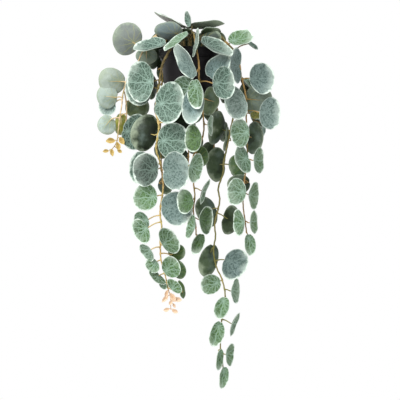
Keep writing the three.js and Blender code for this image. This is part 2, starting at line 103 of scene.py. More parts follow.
class Tint(Enum):
    """The colour of a leaf's side that shows, and how strongly its veins stand out. The tints are
    partly painted light and shade: DARK, DUSK and NIGHT darken leaves that lie in the plant's shade,
    and PALE lightens leaves in the light.
    """

    GREY = (*linear(70, 94, 80), 0.85)
    BLUE = (*linear(112, 132, 129), 0.2)
    SAGE = (*linear(92, 118, 84), 0.8)
    GREEN = (*linear(82, 114, 62), 0.8)
    FOREST = (*linear(54, 82, 24), 0.2)
    DUSK = (*linear(46, 61, 49), 0.35)
    DARK = (*linear(60, 77, 52), 0.0)
    NIGHT = (*linear(30, 44, 22), 0.0)
    MOSS = (*linear(68, 98, 46), 0.2)
    OLIVE = (*linear(92, 108, 74), 0.05)
    SLATE = (*linear(124, 137, 122), 0.25)
    PALE = (*linear(150, 165, 157), 0.35)
    ASH = (*linear(118, 129, 127), 0.45)
    GOLD = (*linear(138, 136, 50), 0.2)
    DRY = (*linear(158, 150, 148), 0.2)


# The backs whose midrib stands out, and the colours of the sides that don't show
RIBBED = (Tint.PALE, Tint.SLATE, Tint.OLIVE, Tint.GOLD)
HIDDEN_TOP = ((-60.0, Tint.GREY), (-170.0, Tint.SAGE), (-math.inf, Tint.GREEN))
HIDDEN_BACK = Tint.DARK


def placed(across: float, depth: float, height: float) -> Vector:
    """A place given as it shows from the front, moved along the line of sight to its depth.

    Args:
        across: How far right it shows, in millimetres at the pot's axis.
        depth: Its distance behind the pot's axis, in millimetres.
        height: How high it shows, in millimetres at the pot's axis.

    Returns:
        The place in the part's frame, in metres.
    """
    reach = 1 + depth * MM / VIEW_DISTANCE
    return Vector((
        VIEW_ACROSS + (across * MM - VIEW_ACROSS) * reach,
        depth * MM,
        VIEW_HEIGHT + (height * MM - VIEW_HEIGHT) * reach,
    ))


@dataclass(frozen=True)
class Leaf:
    """A leaf: the place of its middle, its size in millimetres and its directions in degrees."""

    across: float
    depth: float
    height: float
    wide: float
    long: float
    turn: float
    tip: float
    lift: float
    tint: Tint = Tint.GREY
    side: Side = Side.TOP

    def middle(self) -> Vector:
        """The place of the blade's middle, in metres."""
        return placed(self.across, self.depth, self.height)

    def tints(self) -> tuple[Tint, Tint]:
        """The tints of its two sides.

        Returns:
            The tint of its upper side, and that of its back.
        """
        if self.tint is Tint.DRY:
            return self.tint, self.tint
        if self.side is Side.TOP:
            return self.tint, HIDDEN_BACK
        return next(tint for low, tint in HIDDEN_TOP if self.height > low), self.tint

    def axes(self) -> tuple[Vector, Vector, Vector]:
        """The directions of the blade.

        Returns:
            The directions of its tip, of its width and of its upper side.
        """
        t, p, e = (math.radians(angle) for angle in (self.turn, self.tip, self.lift))
        shown = Vector((math.sin(t) * math.cos(e), -math.cos(t) * math.cos(e), math.sin(e)))
        down = Vector((math.sin(t) * math.sin(e), -math.cos(t) * math.sin(e), -math.cos(e)))
        right = Vector((math.cos(t), math.sin(t), 0))
        along = down * math.cos(p) + right * math.sin(p)
        upper = shown * self.side.value
        return along, upper.cross(along), upper

    def matrix(self) -> Matrix:
        """What brings a blade of unit size to its place.

        Returns:
            The matrix.
        """
        along, over, upper = self.axes()
        sizes = (self.long * MM, self.wide * MM, (self.long + self.wide) / 2 * MM)
        columns = [axis * size for axis, size in zip((along, over, upper), sizes)]
        turned = Matrix([list(column) for column in columns]).transposed().to_4x4()
        return Matrix.Translation(self.middle()) @ turned


def deselect() -> None:
    """Leave nothing selected, in object mode."""
    if bpy.context.object and bpy.context.object.mode != "OBJECT":
        bpy.ops.object.mode_set(mode="OBJECT")
    bpy.ops.object.select_all(action="DESELECT")


def pick(piece: bpy.types.Object) -> bpy.types.Object:
    """Select one object alone and make it the active one.

    Args:
        piece: The object.

    Returns:
        The same object.
    """
    deselect()
    piece.select_set(True)
    bpy.context.view_layer.objects.active = piece
    return piece


def finish_modifiers(piece: bpy.types.Object) -> None:
    """Apply all of an object's modifiers in order.

    Args:
        piece: The object.
    """
    pick(piece)
    for modifier in list(piece.modifiers):
        bpy.ops.object.modifier_apply(modifier=modifier.name)


def smoothed(piece: bpy.types.Object, crease: float) -> None:
    """Shade an object smooth, apart from its sharp edges.

    Args:
        piece: The object.
        crease: The angle in degrees from which an edge stays sharp.
    """
    pick(piece)
    bpy.ops.object.shade_smooth_by_angle(angle=math.radians(crease))


def joined(pieces: Sequence[bpy.types.Object], name: str) -> bpy.types.Object:
    """Join objects in one.

    Args:
        pieces: The objects, of which there is at least one.
        name: The name of the joined object.

    Returns:
        The joined object.
    """
    deselect()
    for piece in pieces:
        piece.select_set(True)
    bpy.context.view_layer.objects.active = pieces[0]
    if len(pieces) > 1:
        bpy.ops.object.join()
    whole = bpy.context.view_layer.objects.active
    whole.name = name
    whole.data.name = name
    return whole


def copied(piece: bpy.types.Object, place: Matrix) -> bpy.types.Object:
    """A copy of an object with a mesh of its own, moved in its mesh.

    Args:
        piece: The object.
        place: The matrix that brings the copy to its place.

    Returns:
        The copy.
    """
    copy = piece.copy()
    copy.data = piece.data.copy()
    copy.data.transform(place)
    bpy.context.scene.collection.objects.link(copy)
    return copy


def dressed(piece: bpy.types.Object, materials: Sequence[bpy.types.Material]) -> None:
    """Give an object its materials, in the order of its faces' material numbers.

    Args:
        piece: The object.
        materials: The materials.
    """
    piece.data.materials.clear()
    for material in materials:
        piece.data.materials.append(material)


def smooth_line(places: Sequence[Vector], step: float) -> list[Vector]:
    """A smooth line through a row of places.

    Args:
        places: The places that it passes, in order.
        step: The distance between its points, roughly.

    Returns:
        The points of the line.
    """
    ends = [places[0] * 2 - places[1], *places, places[-1] * 2 - places[-2]]
    points = [places[0].copy()]
    for before, first, second, after in zip(ends, ends[1:], ends[2:], ends[3:]):
        count = max(2, round((second - first).length / step))
        for i in range(1, count + 1):
            t = i / count
            bend = (before * -1 + first * 3 - second * 3 + after) * t**3
            bend += (before * 2 - first * 5 + second * 4 - after) * t**2
            bend += (second - before) * t
            points.append(first + bend / 2)
    return points


def nearest_on(points: Sequence[Vector], goal: Vector) -> Vector:
    """The point of a line that is nearest to a goal.

    Args:
        points: The points of the line.
        goal: The goal.

    Returns:
        A copy of the nearest point.
    """
    return min(points, key=lambda point: (point - goal).length_squared).copy()


# The names of what a blade's mesh carries for its colours
BLADE_MAP = "blade"
BLADE_MAP_UNIT = 50 * MM
MARGIN = "margin"
TOP_LOOK = "top_look"
BACK_LOOK = "back_look"
BODY_GROUP = "full_thickness"
RIM_THICKNESS = 0.5


class Graph:
    """A material and its nodes, built a step at a time."""

    def __init__(self, name: str, roughness: float, specular: float = 0.5) -> None:
        """Start a material.

        Args:
            name: The material's name.
            roughness: The roughness of the whole surface.
            specular: The specular level of the whole surface.
        """
        self.material = bpy.data.materials.new(name)
        self.material.use_nodes = True
        self.nodes = self.material.node_tree.nodes
        self.links = self.material.node_tree.links
        self.shader = self.nodes["Principled BSDF"]
        self.shader.inputs["Roughness"].default_value = roughness
        self.shader.inputs["Specular IOR Level"].default_value = specular

    def put(self, kind: str, inputs: dict, **settings) -> bpy.types.Node:
        """Add a node.

        Args:
            kind: The node's type, without its first words.
            inputs: A value or a socket for each input, by name or number.
            settings: The node's own settings.

        Returns:
            The node.
        """
        node = self.nodes.new("ShaderNode" + kind)
        for setting, value in settings.items():
            setattr(node, setting, value)
        for key, value in inputs.items():
            self.join(value, node.inputs[key])
        return node

    def join(self, value: Socket, target: bpy.types.NodeSocket) -> None:
        """Set an input, or link it.

        Args:
            value: The value or the socket.
            target: The input.
        """
        if isinstance(value, bpy.types.NodeSocket):
            self.links.new(value, target)
        elif isinstance(value, (int, float)):
            target.default_value = value
        else:
            wanted = len(target.default_value)
            target.default_value = (*value, 1.0)[:wanted]

    def math(self, operation: str, *values: Socket, clamp: bool = False) -> Socket:
        """The result of a sum on numbers."""
        inputs = dict(enumerate(values))
        return self.put("Math", inputs, operation=operation, use_clamp=clamp).outputs[0]

    def vector(self, operation: str, *values: Socket) -> Socket:
        """The result of a sum on places or colours."""
        return self.put("VectorMath", dict(enumerate(values)), operation=operation).outputs[0]

    def times(self, first: Socket, second: Socket) -> Socket:
        """The product of two values."""
        return self.math("MULTIPLY", first, second)

    def plus(self, first: Socket, second: Socket) -> Socket:
        """The sum of two values."""
        return self.math("ADD", first, second)

    def larger(self, first: Socket, second: Socket) -> Socket:
        """The larger of two values."""
        return self.math("MAXIMUM", first, second)

    def rest(self, value: Socket) -> Socket:
        """What a value leaves of 1."""
        return self.math("SUBTRACT", 1.0, value)

    def scaled(self, value: Socket, factor: Socket, added: Socket, clamp: bool = False) -> Socket:
        """A value times a factor, with something added."""
        return self.math("MULTIPLY_ADD", value, factor, added, clamp=clamp)

    def length(self, first: Socket, second: Socket) -> Socket:
        """How far a place in a plane lies from the middle."""
        return self.math("SQRT", self.plus(self.times(first, first), self.times(second, second)))

    def step(self, value: Socket, low: Socket, high: Socket) -> Socket:
        """A smooth step from 0 at low to 1 at high."""
        inputs = {"Value": value, "From Min": low, "From Max": high}
        return self.put("MapRange", inputs, interpolation_type="SMOOTHSTEP").outputs[0]

    def mix(self, share: Socket, first: Socket, second: Socket) -> Socket:
        """A blend of two colours."""
        node = self.put("Mix", {0: share, 6: first, 7: second}, data_type="RGBA")
        return node.outputs[2]

    def tinted(self, colour: Socket, share: Socket) -> Socket:
        """A colour made lighter or darker by a share around 1."""
        return self.put("VectorMath", {0: colour, "Scale": share}, operation="SCALE").outputs[0]

    def noise(self, place: Socket, scale: float, detail: float = 2.0) -> Socket:
        """Noise around 0.5."""
        inputs = {"Vector": place, "Scale": scale, "Detail": detail}
        return self.put("TexNoise", inputs).outputs[0]

    def drift(self, place: Socket, scale: float, detail: float, size: float) -> Socket:
        """Noise around 0, from minus to plus half its size."""
        return self.scaled(self.noise(place, scale, detail), size, -size / 2)

    def streaks(self, place: Socket, scales: Sequence[float], detail: float = 2.0) -> Socket:
        """Noise around 0.5 that has a scale of its own along each axis."""
        stretched = self.put("Mapping", {0: place, 3: scales}).outputs[0]
        return self.noise(stretched, 1.0, detail)

    def net(self, place: Socket, scale: float, width: float) -> Socket:
        """The lines of a net of cells, 1 in their middle."""
        inputs = {"Vector": place, "Scale": scale}
        cells = self.put("TexVoronoi", inputs, feature="DISTANCE_TO_EDGE").outputs[0]
        return self.rest(self.step(cells, 0.0, width))

    def objects(self) -> Socket:
        """The place on the object, in metres."""
        return self.put("TexCoord", {}).outputs["Object"]

    def on_blade(self) -> Socket:
        """The place on the blade, from where its stalk meets it."""
        return self.put("UVMap", {}, uv_map=BLADE_MAP).outputs[0]

    def parts(self, place: Socket) -> tuple[Socket, Socket, Socket]:
        """The three parts of a place."""
        return tuple(self.put("SeparateXYZ", {0: place}).outputs)

    def attribute(self, name: str) -> bpy.types.NodeOutputs:
        """What an attribute of the mesh gives."""
        return self.put("Attribute", {}, attribute_name=name).outputs

    def relief(self, height: Socket, distance: float, strength: float = 1.0) -> None:
        """Raise the surface in the light by a pattern.

        Args:
            height: The pattern.
            distance: Its height in metres.
            strength: How strongly it shows.
        """
        inputs = {"Height": height, "Distance": distance, "Strength": strength}
        bump = self.put("Bump", inputs)
        self.links.new(bump.outputs[0], self.shader.inputs["Normal"])

    def done(self, colour: Socket, roughness: Optional[Socket] = None) -> bpy.types.Material:
        """Give the shader its colour.

        Args:
            colour: The colour.
            roughness: The roughness, where it varies over the surface.

        Returns:
            The finished material.
        """
        self.join(colour, self.shader.inputs["Base Color"])
        if roughness is not None:
            self.join(roughness, self.shader.inputs["Roughness"])
        return self.material


@dataclass(frozen=True)
class Veins:
    """The veins of a leaf: some spread from its stalk, and a net lies between them."""

    spread: float = math.radians(33)
    width: float = 0.017
    narrowing: float = 0.01
    midrib_width: float = 0.018
    coarse: float = 7.0
    fine: float = 16.0
    bend: float = 0.16
    bend_scale: float = 4.0

    def bent(self, graph: Graph) -> Socket:
        """The place on the blade, pushed about by noise.

        Args:
            graph: The material's nodes.

        Returns:
            The place.
        """
        place = graph.on_blade()
        inputs = {"Vector": place, "Scale": self.bend_scale, "Detail": 2.0}
        push = graph.put("TexNoise", inputs).outputs[1]
        push = graph.vector("SUBTRACT", push, (0.5, 0.5, 0.5))
        return graph.vector("MULTIPLY_ADD", push, (self.bend, self.bend, 0.0), place)

    def drawn(self, graph: Graph) -> tuple[Socket, Socket]:
        """How much of a vein there is at each place.

        Args:
            graph: The material's nodes.

        Returns:
            The share of the main veins, and that of the net between them.
        """
        place = self.bent(graph)
        u, v, _ = graph.parts(place)
        reach = graph.length(u, v)
        turn = graph.math("DIVIDE", graph.math("ARCTAN2", v, u), self.spread)
        off = graph.math("ABSOLUTE", graph.math("SUBTRACT", turn, graph.math("ROUND", turn)))
        beside = graph.times(graph.times(off, self.spread), reach)
        thin = graph.scaled(reach, -self.narrowing, self.width)
        main = graph.rest(graph.step(beside, 0.002, thin))
        mid = graph.rest(graph.step(graph.math("ABSOLUTE", v), 0.004, self.midrib_width))
        mid = graph.times(mid, graph.step(u, -0.02, 0.04))
        strong = graph.larger(graph.times(mid, 0.85), graph.times(main, 0.8))
        coarse, fine = graph.net(place, self.coarse, 0.1), graph.net(place, self.fine, 0.14)
        return strong, graph.larger(graph.times(coarse, 0.75), graph.times(fine, 0.5))


@dataclass(frozen=True)
class LeafTopFinish:
    """The upper side of a leaf: pale veins and a frosted margin on mottled green."""

    vein: Colour = linear(166, 194, 180)
    margin: Colour = linear(214, 228, 216)
    shade: Colour = (0.34, 0.42, 0.38)
    veins: Veins = Veins()

    def material(self) -> bpy.types.Material:
        """Make the material of the upper side.

        Returns:
            The material.
        """
        graph = Graph("leaf_top", 0.62, 0.25)
        look, place = graph.attribute(TOP_LOOK), graph.objects()
        body, contrast = look["Color"], look["Alpha"]
        strong, net = self.veins.drawn(graph)
        found = graph.larger(strong, graph.times(net, 0.7))
        cloud = graph.step(graph.noise(place, 75.0), 0.3, 0.7)
        mottle = graph.step(graph.noise(place, 250.0, 3.0), 0.4, 0.66)
        specks = graph.step(graph.noise(place, 430.0, 3.0), 0.535, 0.59)
        deep = graph.times(graph.rest(found), graph.scaled(mottle, 0.6, 0.3))
        deep = graph.times(deep, graph.scaled(cloud, 0.7, 0.5))
        dark = graph.vector("MULTIPLY", body, self.shade)
        colour = graph.mix(deep, body, dark)
        colour = graph.mix(graph.times(specks, graph.scaled(contrast, -0.9, 1.2)), colour, dark)
        pale = graph.times(graph.times(found, contrast), 0.85)
        colour = graph.mix(pale, colour, self.vein)
        margin = graph.attribute(MARGIN)["Fac"]
        outward = graph.parts(graph.on_blade())[0]
        cover = graph.scaled(outward, 0.35, graph.noise(place, 55.0, 3.0))
        broad = graph.times(graph.step(margin, 0.45, 1.0), graph.step(cover, 0.5, 0.85))
        near = graph.mix(0.45, self.margin, body)
        colour = graph.mix(graph.times(broad, 0.7), colour, near)
        edge = graph.plus(margin, graph.drift(place, 170.0, 4.0, 0.3))
        kept = graph.scaled(graph.step(cover, 0.35, 0.7), 0.5, 0.45)
        rim = graph.times(graph.step(edge, 0.91, 0.99), kept)
        colour = graph.mix(rim, colour, self.margin)
        graph.relief(graph.scaled(found, -0.8, graph.noise(place, 900.0)), 0.35 * MM, 0.7)
        graph.shader.inputs["Sheen Weight"].default_value = 0.1
        graph.shader.inputs["Sheen Roughness"].default_value = 0.6
        return graph.done(colour)


@dataclass(frozen=True)
class LeafBackFinish:
    """The underside of a leaf: smooth and dark, or pale, with painted shade towards its stalk and a
    painted highlight towards its rim.
    """

    vein: Colour = linear(168, 168, 84)
    # The colour of the painted highlight towards the rim.
    painted_highlight: Colour = linear(146, 159, 134)
    dust: Colour = linear(114, 132, 126)
    # What the painted shade near the stalk multiplies the body colour by.
    shade: Colour = (0.26, 0.34, 0.22)
    margin: Colour = linear(150, 164, 142)
    veins: Veins = Veins()

    def material(self) -> bpy.types.Material:
        """Make the material of the underside.

        Returns:
            The material.
        """
        graph = Graph("leaf_back", 0.55, 0.3)
        look, place = graph.attribute(BACK_LOOK), graph.objects()
        body, contrast = look["Color"], look["Alpha"]
        strong, net = self.veins.drawn(graph)
        margin = graph.attribute(MARGIN)["Fac"]
        outward = graph.parts(graph.on_blade())[0]
        strong = graph.times(strong, graph.rest(graph.step(outward, 0.1, 0.55)))
        # Painted shade: the back darkens towards its stalk, less on the tints whose veins stand out.
        away = graph.scaled(outward, 0.45, graph.times(margin, 0.5))
        away = graph.plus(away, graph.drift(place, 70.0, 5.0, 1.6))
        inner = graph.rest(graph.step(away, 0.05, 0.45))
        plain = graph.scaled(contrast, -1.6, 1.0, clamp=True)
        dark = graph.vector("MULTIPLY", body, self.shade)
        colour = graph.mix(graph.times(inner, plain), body, dark)
        patches = graph.step(graph.noise(place, 48.0, 3.0), 0.45, 0.75)
        colour = graph.mix(graph.times(patches, graph.times(plain, 0.5)), colour, self.dust)
        # Painted highlight: the back lightens towards its rim, most on the dark tints.
        painted_highlight = graph.times(graph.step(away, 0.45, 0.95), 0.8)
        colour = graph.mix(graph.times(painted_highlight, graph.rest(contrast)), colour, self.painted_highlight)
        colour = graph.mix(graph.times(strong, contrast), colour, self.vein)
        grain = graph.scaled(graph.noise(place, 640.0, 3.0), 0.5, 0.75)
        colour = graph.tinted(colour, grain)
        edge = graph.plus(margin, graph.drift(place, 190.0, 4.0, 0.4))
        frost = graph.times(graph.step(edge, 0.82, 1.0), 0.55)
        colour = graph.mix(frost, colour, self.margin)
        height = graph.scaled(graph.larger(strong, net), 0.5, graph.noise(place, 800.0))
        graph.relief(height, 0.3 * MM, 0.6)
        return graph.done(colour)


@dataclass(frozen=True)
class StemFinish:
    """Stems and leaf stalks: fibres in three colours, with painted shade at the crown of the plant.
    """

    name: str = "stem_brown"
    tan: Colour = linear(194, 158, 98)
    olive: Colour = linear(136, 122, 66)
    red: Colour = linear(180, 116, 78)
    fibre: Colour = linear(118, 90, 50)
    # The painted shade at the crown: its colour, how far from the axis it reaches, the heights over
    # which it sets in, and its strength.
    crown: Colour = linear(66, 62, 36)
    crown_radius: float = 48 * MM
    crown_foot: float = -20 * MM
    crown_top: float = 0.0
    crown_shade_share: float = 0.93

    def material(self) -> bpy.types.Material:
        """Make the material of the stems.

        Returns:
            The material.
        """
        graph = Graph(self.name, 0.6, 0.3)
        place = graph.objects()
        patches = graph.step(graph.noise(place, 26.0), 0.4, 0.62)
        reds = graph.step(graph.streaks(place, (31.0, 31.0, 19.0)), 0.56, 0.7)
        fibres = graph.step(graph.streaks(place, (1900.0, 1900.0, 190.0)), 0.35, 0.7)
        colour = graph.mix(patches, self.tan, self.olive)
        colour = graph.mix(graph.times(reds, 0.4), colour, self.red)
        colour = graph.mix(graph.times(fibres, 0.35), colour, self.fibre)
        # Painted shade: darker near the axis above the soil, where the leaves shade the stems.
        x, y, z = graph.parts(place)
        off_axis = graph.step(graph.length(x, y), self.crown_radius / 2, self.crown_radius)
        high = graph.step(z, self.crown_foot, self.crown_top)
        near = graph.times(graph.times(graph.rest(off_axis), high), self.crown_shade_share)
        colour = graph.mix(near, colour, self.crown)
        graph.relief(fibres, 0.25 * MM, 0.8)
        return graph.done(colour)


BROWN_STEM = StemFinish()
PALE_STEM = StemFinish("stem_pale", linear(216, 192, 152), linear(178, 162, 110),
                       linear(206, 152, 118), linear(156, 130, 92))
# The gold stem's painted shade reaches further from the axis and lower down.
GOLD_STEM = StemFinish("stem_gold", linear(222, 194, 130), linear(192, 174, 108),
                       linear(208, 158, 104), linear(156, 128, 76), linear(92, 80, 48),
                       crown_radius=200 * MM, crown_foot=-70 * MM, crown_top=-20 * MM)
OLIVE_STEM = StemFinish("stem_olive", linear(164, 152, 96), linear(132, 130, 68),
                        linear(172, 150, 88), linear(92, 86, 50))


@dataclass(frozen=True)
class YoungFinish:
    """Golden young leaves, deeper in colour towards their stalks."""

    name: str
    light: Colour
    deep: Colour

    def material(self) -> bpy.types.Material:
        """Make the material of the young leaves.

        Returns:
            The material.
        """
        graph = Graph(self.name, 0.55, 0.35)
        grain = graph.noise(graph.objects(), 520.0, 3.0)
        deep = graph.scaled(graph.rest(graph.attribute(MARGIN)["Fac"]), 0.7, grain)
        colour = graph.mix(graph.step(deep, 0.45, 1.1), self.light, self.deep)
        graph.relief(grain, 0.3 * MM, 0.7)
        return graph.done(colour)


@dataclass(frozen=True)
class PlasticFinish:
    """The pot's black moulded plastic, with faint turning marks and dust."""

    black: Colour = linear(22, 20, 22)
    dust: Colour = linear(56, 52, 52)

    def material(self) -> bpy.types.Material:
        """Make the material of the pot.

        Returns:
            The material.
        """
        graph = Graph("pot_plastic", 0.5, 0.18)
        place = graph.objects()
        dusty = graph.step(graph.noise(place, 60.0, 4.0), 0.55, 0.85)
        colour = graph.mix(graph.times(dusty, 0.35), self.black, self.dust)
        rings = graph.streaks(place, (9.0, 9.0, 1100.0), 1.0)
        grain = graph.noise(place, 1500.0)
        graph.relief(graph.scaled(rings, 0.5, grain), 0.15 * MM, 0.6)
        return graph.done(colour, graph.scaled(graph.noise(place, 220.0), 0.25, 0.34))


@dataclass(frozen=True)
class SoilFinish:
    """Dark potting soil with paler flecks."""

    dark: Colour = linear(44, 33, 26)
    light: Colour = linear(96, 74, 54)

    def material(self) -> bpy.types.Material:
        """Make the material of the soil.

        Returns:
            The material.
        """
        graph = Graph("potting_soil", 0.95, 0.2)
        place = graph.objects()
        grain = graph.noise(place, 620.0, 4.0)
        flecks = graph.step(graph.noise(place, 240.0), 0.55, 0.72)
        colour = graph.mix(graph.times(flecks, 0.8), self.dark, self.light)
        graph.relief(grain, 0.8 * MM)
        return graph.done(graph.tinted(colour, graph.scaled(grain, 0.9, 0.5)))


@dataclass
class Blade:
    """A blade of unit size: a kidney-shaped sheet whose rings narrow to where its stalk meets it."""

    sectors: int = 56
    rings: tuple[float, ...] = (0.94, 0.82, 0.66, 0.47, 0.26, 0.0)
    notch_place: float = -0.3
    dimple: float = 0.035
    dimple_angle: float = 0.14
    crease: float = 0.022
    crease_width: float = 0.035
    dish: float = 0.36
    fold: float = 0.12
    fold_softness: float = 0.04
    ripple: float = 0.014
    ripple_count: int = 5
    scallop: float = 0.004
    scallop_count: int = 13
    sway: float = 0.03
    rim_share: float = 0.07
    point: float = 0.0

    def outline(self, angle: float, phase: float) -> tuple[float, float]:
        """A point of the rim.

        Args:
            angle: The angle from the notch, from minus to plus half a turn.
            phase: What sets this blade apart from the others.

        Returns:
            Its shares of the length and of the width.
        """
        size = 0.5 + 0.5 * self.scallop * math.cos(self.scallop_count * angle + 2 * phase)
        size += 0.5 * self.sway * math.sin(2 * angle + phase)
        size += 0.35 * self.sway * math.sin(3 * angle - 1.7 * phase)
        size -= self.dimple * math.exp(-((angle / self.dimple_angle) ** 2))
        narrow = 1 - self.point * (1 - abs(math.sin(angle)))
        return -size * math.cos(angle), size * narrow * math.sin(angle)

    def height(self, p: float, q: float, phase: float) -> float:
        """How far the sheet rises at a place.

        Args:
            p: The place along the blade, from its middle towards its tip.
            q: The place across the blade.
            phase: What sets this blade apart from the others.

        Returns:
            The rise.
        """
        angle = math.atan2(q, -p)
        reach = p * p + q * q
        wave = self.ripple * math.sin(self.ripple_count * angle + phase) * 4 * reach
        behind = max(0.0, self.notch_place - p) / (0.5 + self.notch_place)
        crease = self.crease * behind * math.exp(-((q / self.crease_width) ** 2))
        fold = self.fold * math.sqrt(q * q + self.fold_softness**2)
        return self.dish * reach + fold + wave - crease

    def build(self, name: str, phase: float) -> bpy.types.Object:
        """Model the blade.

        Args:
            name: The object's name.
            phase: What sets this blade apart from the others.

        Returns:
            The blade as a single sheet, its stalk's end at the notch.
        """
        deselect()
        bpy.ops.mesh.primitive_circle_add(vertices=self.sectors, radius=1, calc_uvs=False,
                                          location=(0, 0, 0))
        blade = bpy.context.object
        blade.name = name
        for vertex in blade.data.vertices:
            angle = math.atan2(vertex.co.y, -vertex.co.x)
            vertex.co = (*self.outline(angle, phase), 1)
        bpy.ops.object.mode_set(mode="EDIT")
        bpy.ops.mesh.select_all(action="SELECT")
        before = 1.0
        for ring in self.rings:
            bpy.ops.mesh.extrude_region_move()
            share = ring / before
            bpy.ops.transform.resize(value=(share,) * 3,
                                     center_override=(self.notch_place, 0, 0))
            before = ring
        bpy.ops.object.mode_set(mode="OBJECT")
        self.shape(blade, phase)
        return blade

    def shape(self, blade: bpy.types.Object, phase: float) -> None:
        """Read each ring's share from its height, then dish and wave the sheet.

        Args:
            blade: The blade, as a cone of rings.
            phase: What sets this blade apart from the others.
        """
        margin = blade.data.attributes.new(MARGIN, "FLOAT", "POINT")
        for vertex in blade.data.vertices:
            margin.data[vertex.index].value = vertex.co.z
            vertex.co.z = self.height(vertex.co.x, vertex.co.y, phase)
        mesh = bmesh.new()
        mesh.from_mesh(blade.data)
        bmesh.ops.remove_doubles(mesh, verts=mesh.verts, dist=1e-4)
        bmesh.ops.recalc_face_normals(mesh, faces=mesh.faces)
        if sum(face.normal.z for face in mesh.faces) < 0:
            bmesh.ops.reverse_faces(mesh, faces=mesh.faces)
        mesh.to_mesh(blade.data)
        mesh.free()
        thick = blade.vertex_groups.new(name=BODY_GROUP)
        for vertex, value in zip(blade.data.vertices, blade.data.attributes[MARGIN].data):
            thick.add([vertex.index], min(1.0, (1 - value.value) / self.rim_share), "REPLACE")


@dataclass
class Foliage:
    """What makes the leaves of all the stems: a few blades, copied and placed."""

    thickness: float = 0.8 * MM
    variants: int = 6
    tones: tuple[float, float] = (0.84, 1.16)
    warmths: tuple[float, float] = (0.95, 1.05)
    blades: list[bpy.types.Object] = field(default_factory=list)
    shape: Blade = field(default_factory=Blade)

    def prepare(self) -> None:
        """Model the blades that are copied."""
        for i in range(self.variants):
            self.blades.append(self.shape.build(f"blade_{i}", float(i)))

    def tidy_away(self) -> None:
        """Remove the blades once they have been copied."""
        for blade in self.blades:
            bpy.data.objects.remove(blade)
        self.blades.clear()

    def leaf(self, leaf: Leaf, index: int, draw: random.Random) -> bpy.types.Object:
        """A leaf's blade in its place, still a single sheet.

        Args:
            leaf: The leaf.
            index: Its number on its stem.
            draw: What varies its colours.

        Returns:
            The blade.
        """
        master = self.blades[index % self.variants]
        copy = copied(master, leaf.matrix())
        size = Vector((leaf.long, leaf.wide)) * MM / BLADE_MAP_UNIT
        flat = copy.data.uv_layers.new(name=BLADE_MAP)
        for loop in master.data.loops:
            place = master.data.vertices[loop.vertex_index].co
            across = (place.x - self.shape.notch_place) * size.x
            flat.data[loop.index].uv = (across, place.y * size.y)
        for name, tint in zip((TOP_LOOK, BACK_LOOK), leaf.tints()):
            look = copy.data.attributes.new(name, "FLOAT_COLOR", "POINT")
            tone = draw.uniform(*self.tones)
            warmth = draw.uniform(*self.warmths)
            red, green, blue, contrast = tint.value
            colour = (red * tone * warmth, green * tone, blue * tone / warmth, contrast)
            look.data.foreach_set("color", colour * len(look.data))
        return copy

    def grown(self, leaves: Sequence[Leaf], name: str, seed: int) -> bpy.types.Object:
        """The blades of a stem as one piece, with their thickness.

        Args:
            leaves: The leaves.
            name: The piece's name.
            seed: What the draw of their colours starts from.

        Returns:
            The piece.
        """
        draw = random.Random(seed)
        whole = joined([self.leaf(leaf, i, draw) for i, leaf in enumerate(leaves)], name)
        solid = whole.modifiers.new("thickness", "SOLIDIFY")
        solid.thickness = self.thickness
        solid.offset = -1
        solid.material_offset = 1
        solid.material_offset_rim = 0
        solid.vertex_group = BODY_GROUP
        solid.thickness_vertex_group = RIM_THICKNESS
        dressed(whole, FINISHES.leaf())
        finish_modifiers(whole)
        smoothed(whole, PLANT_CREASE)
        return whole


class Finishes:
    """The finishes that several pieces share, each made once."""

    def __init__(self) -> None:
        """Start with none made."""
        self.made: dict[str, bpy.types.Material] = {}

    def once(self, name: str, make: Callable[[], bpy.types.Material]) -> bpy.types.Material:
        """A material that is made at its first use.

        Args:
            name: What it is kept under.
            make: What makes it.

        Returns:
            The material.
        """
        if name not in self.made:
            self.made[name] = make()
        return self.made[name]

    def leaf(self) -> list[bpy.types.Material]:
        """The upper side and the underside of a leaf."""
        return [self.once("top", LeafTopFinish().material),
                self.once("back", LeafBackFinish().material)]

    def stem(self, finish: StemFinish) -> list[bpy.types.Material]:
        """The stems and stalks."""
        return [self.once(finish.name, finish.material)]


FINISHES = Finishes()


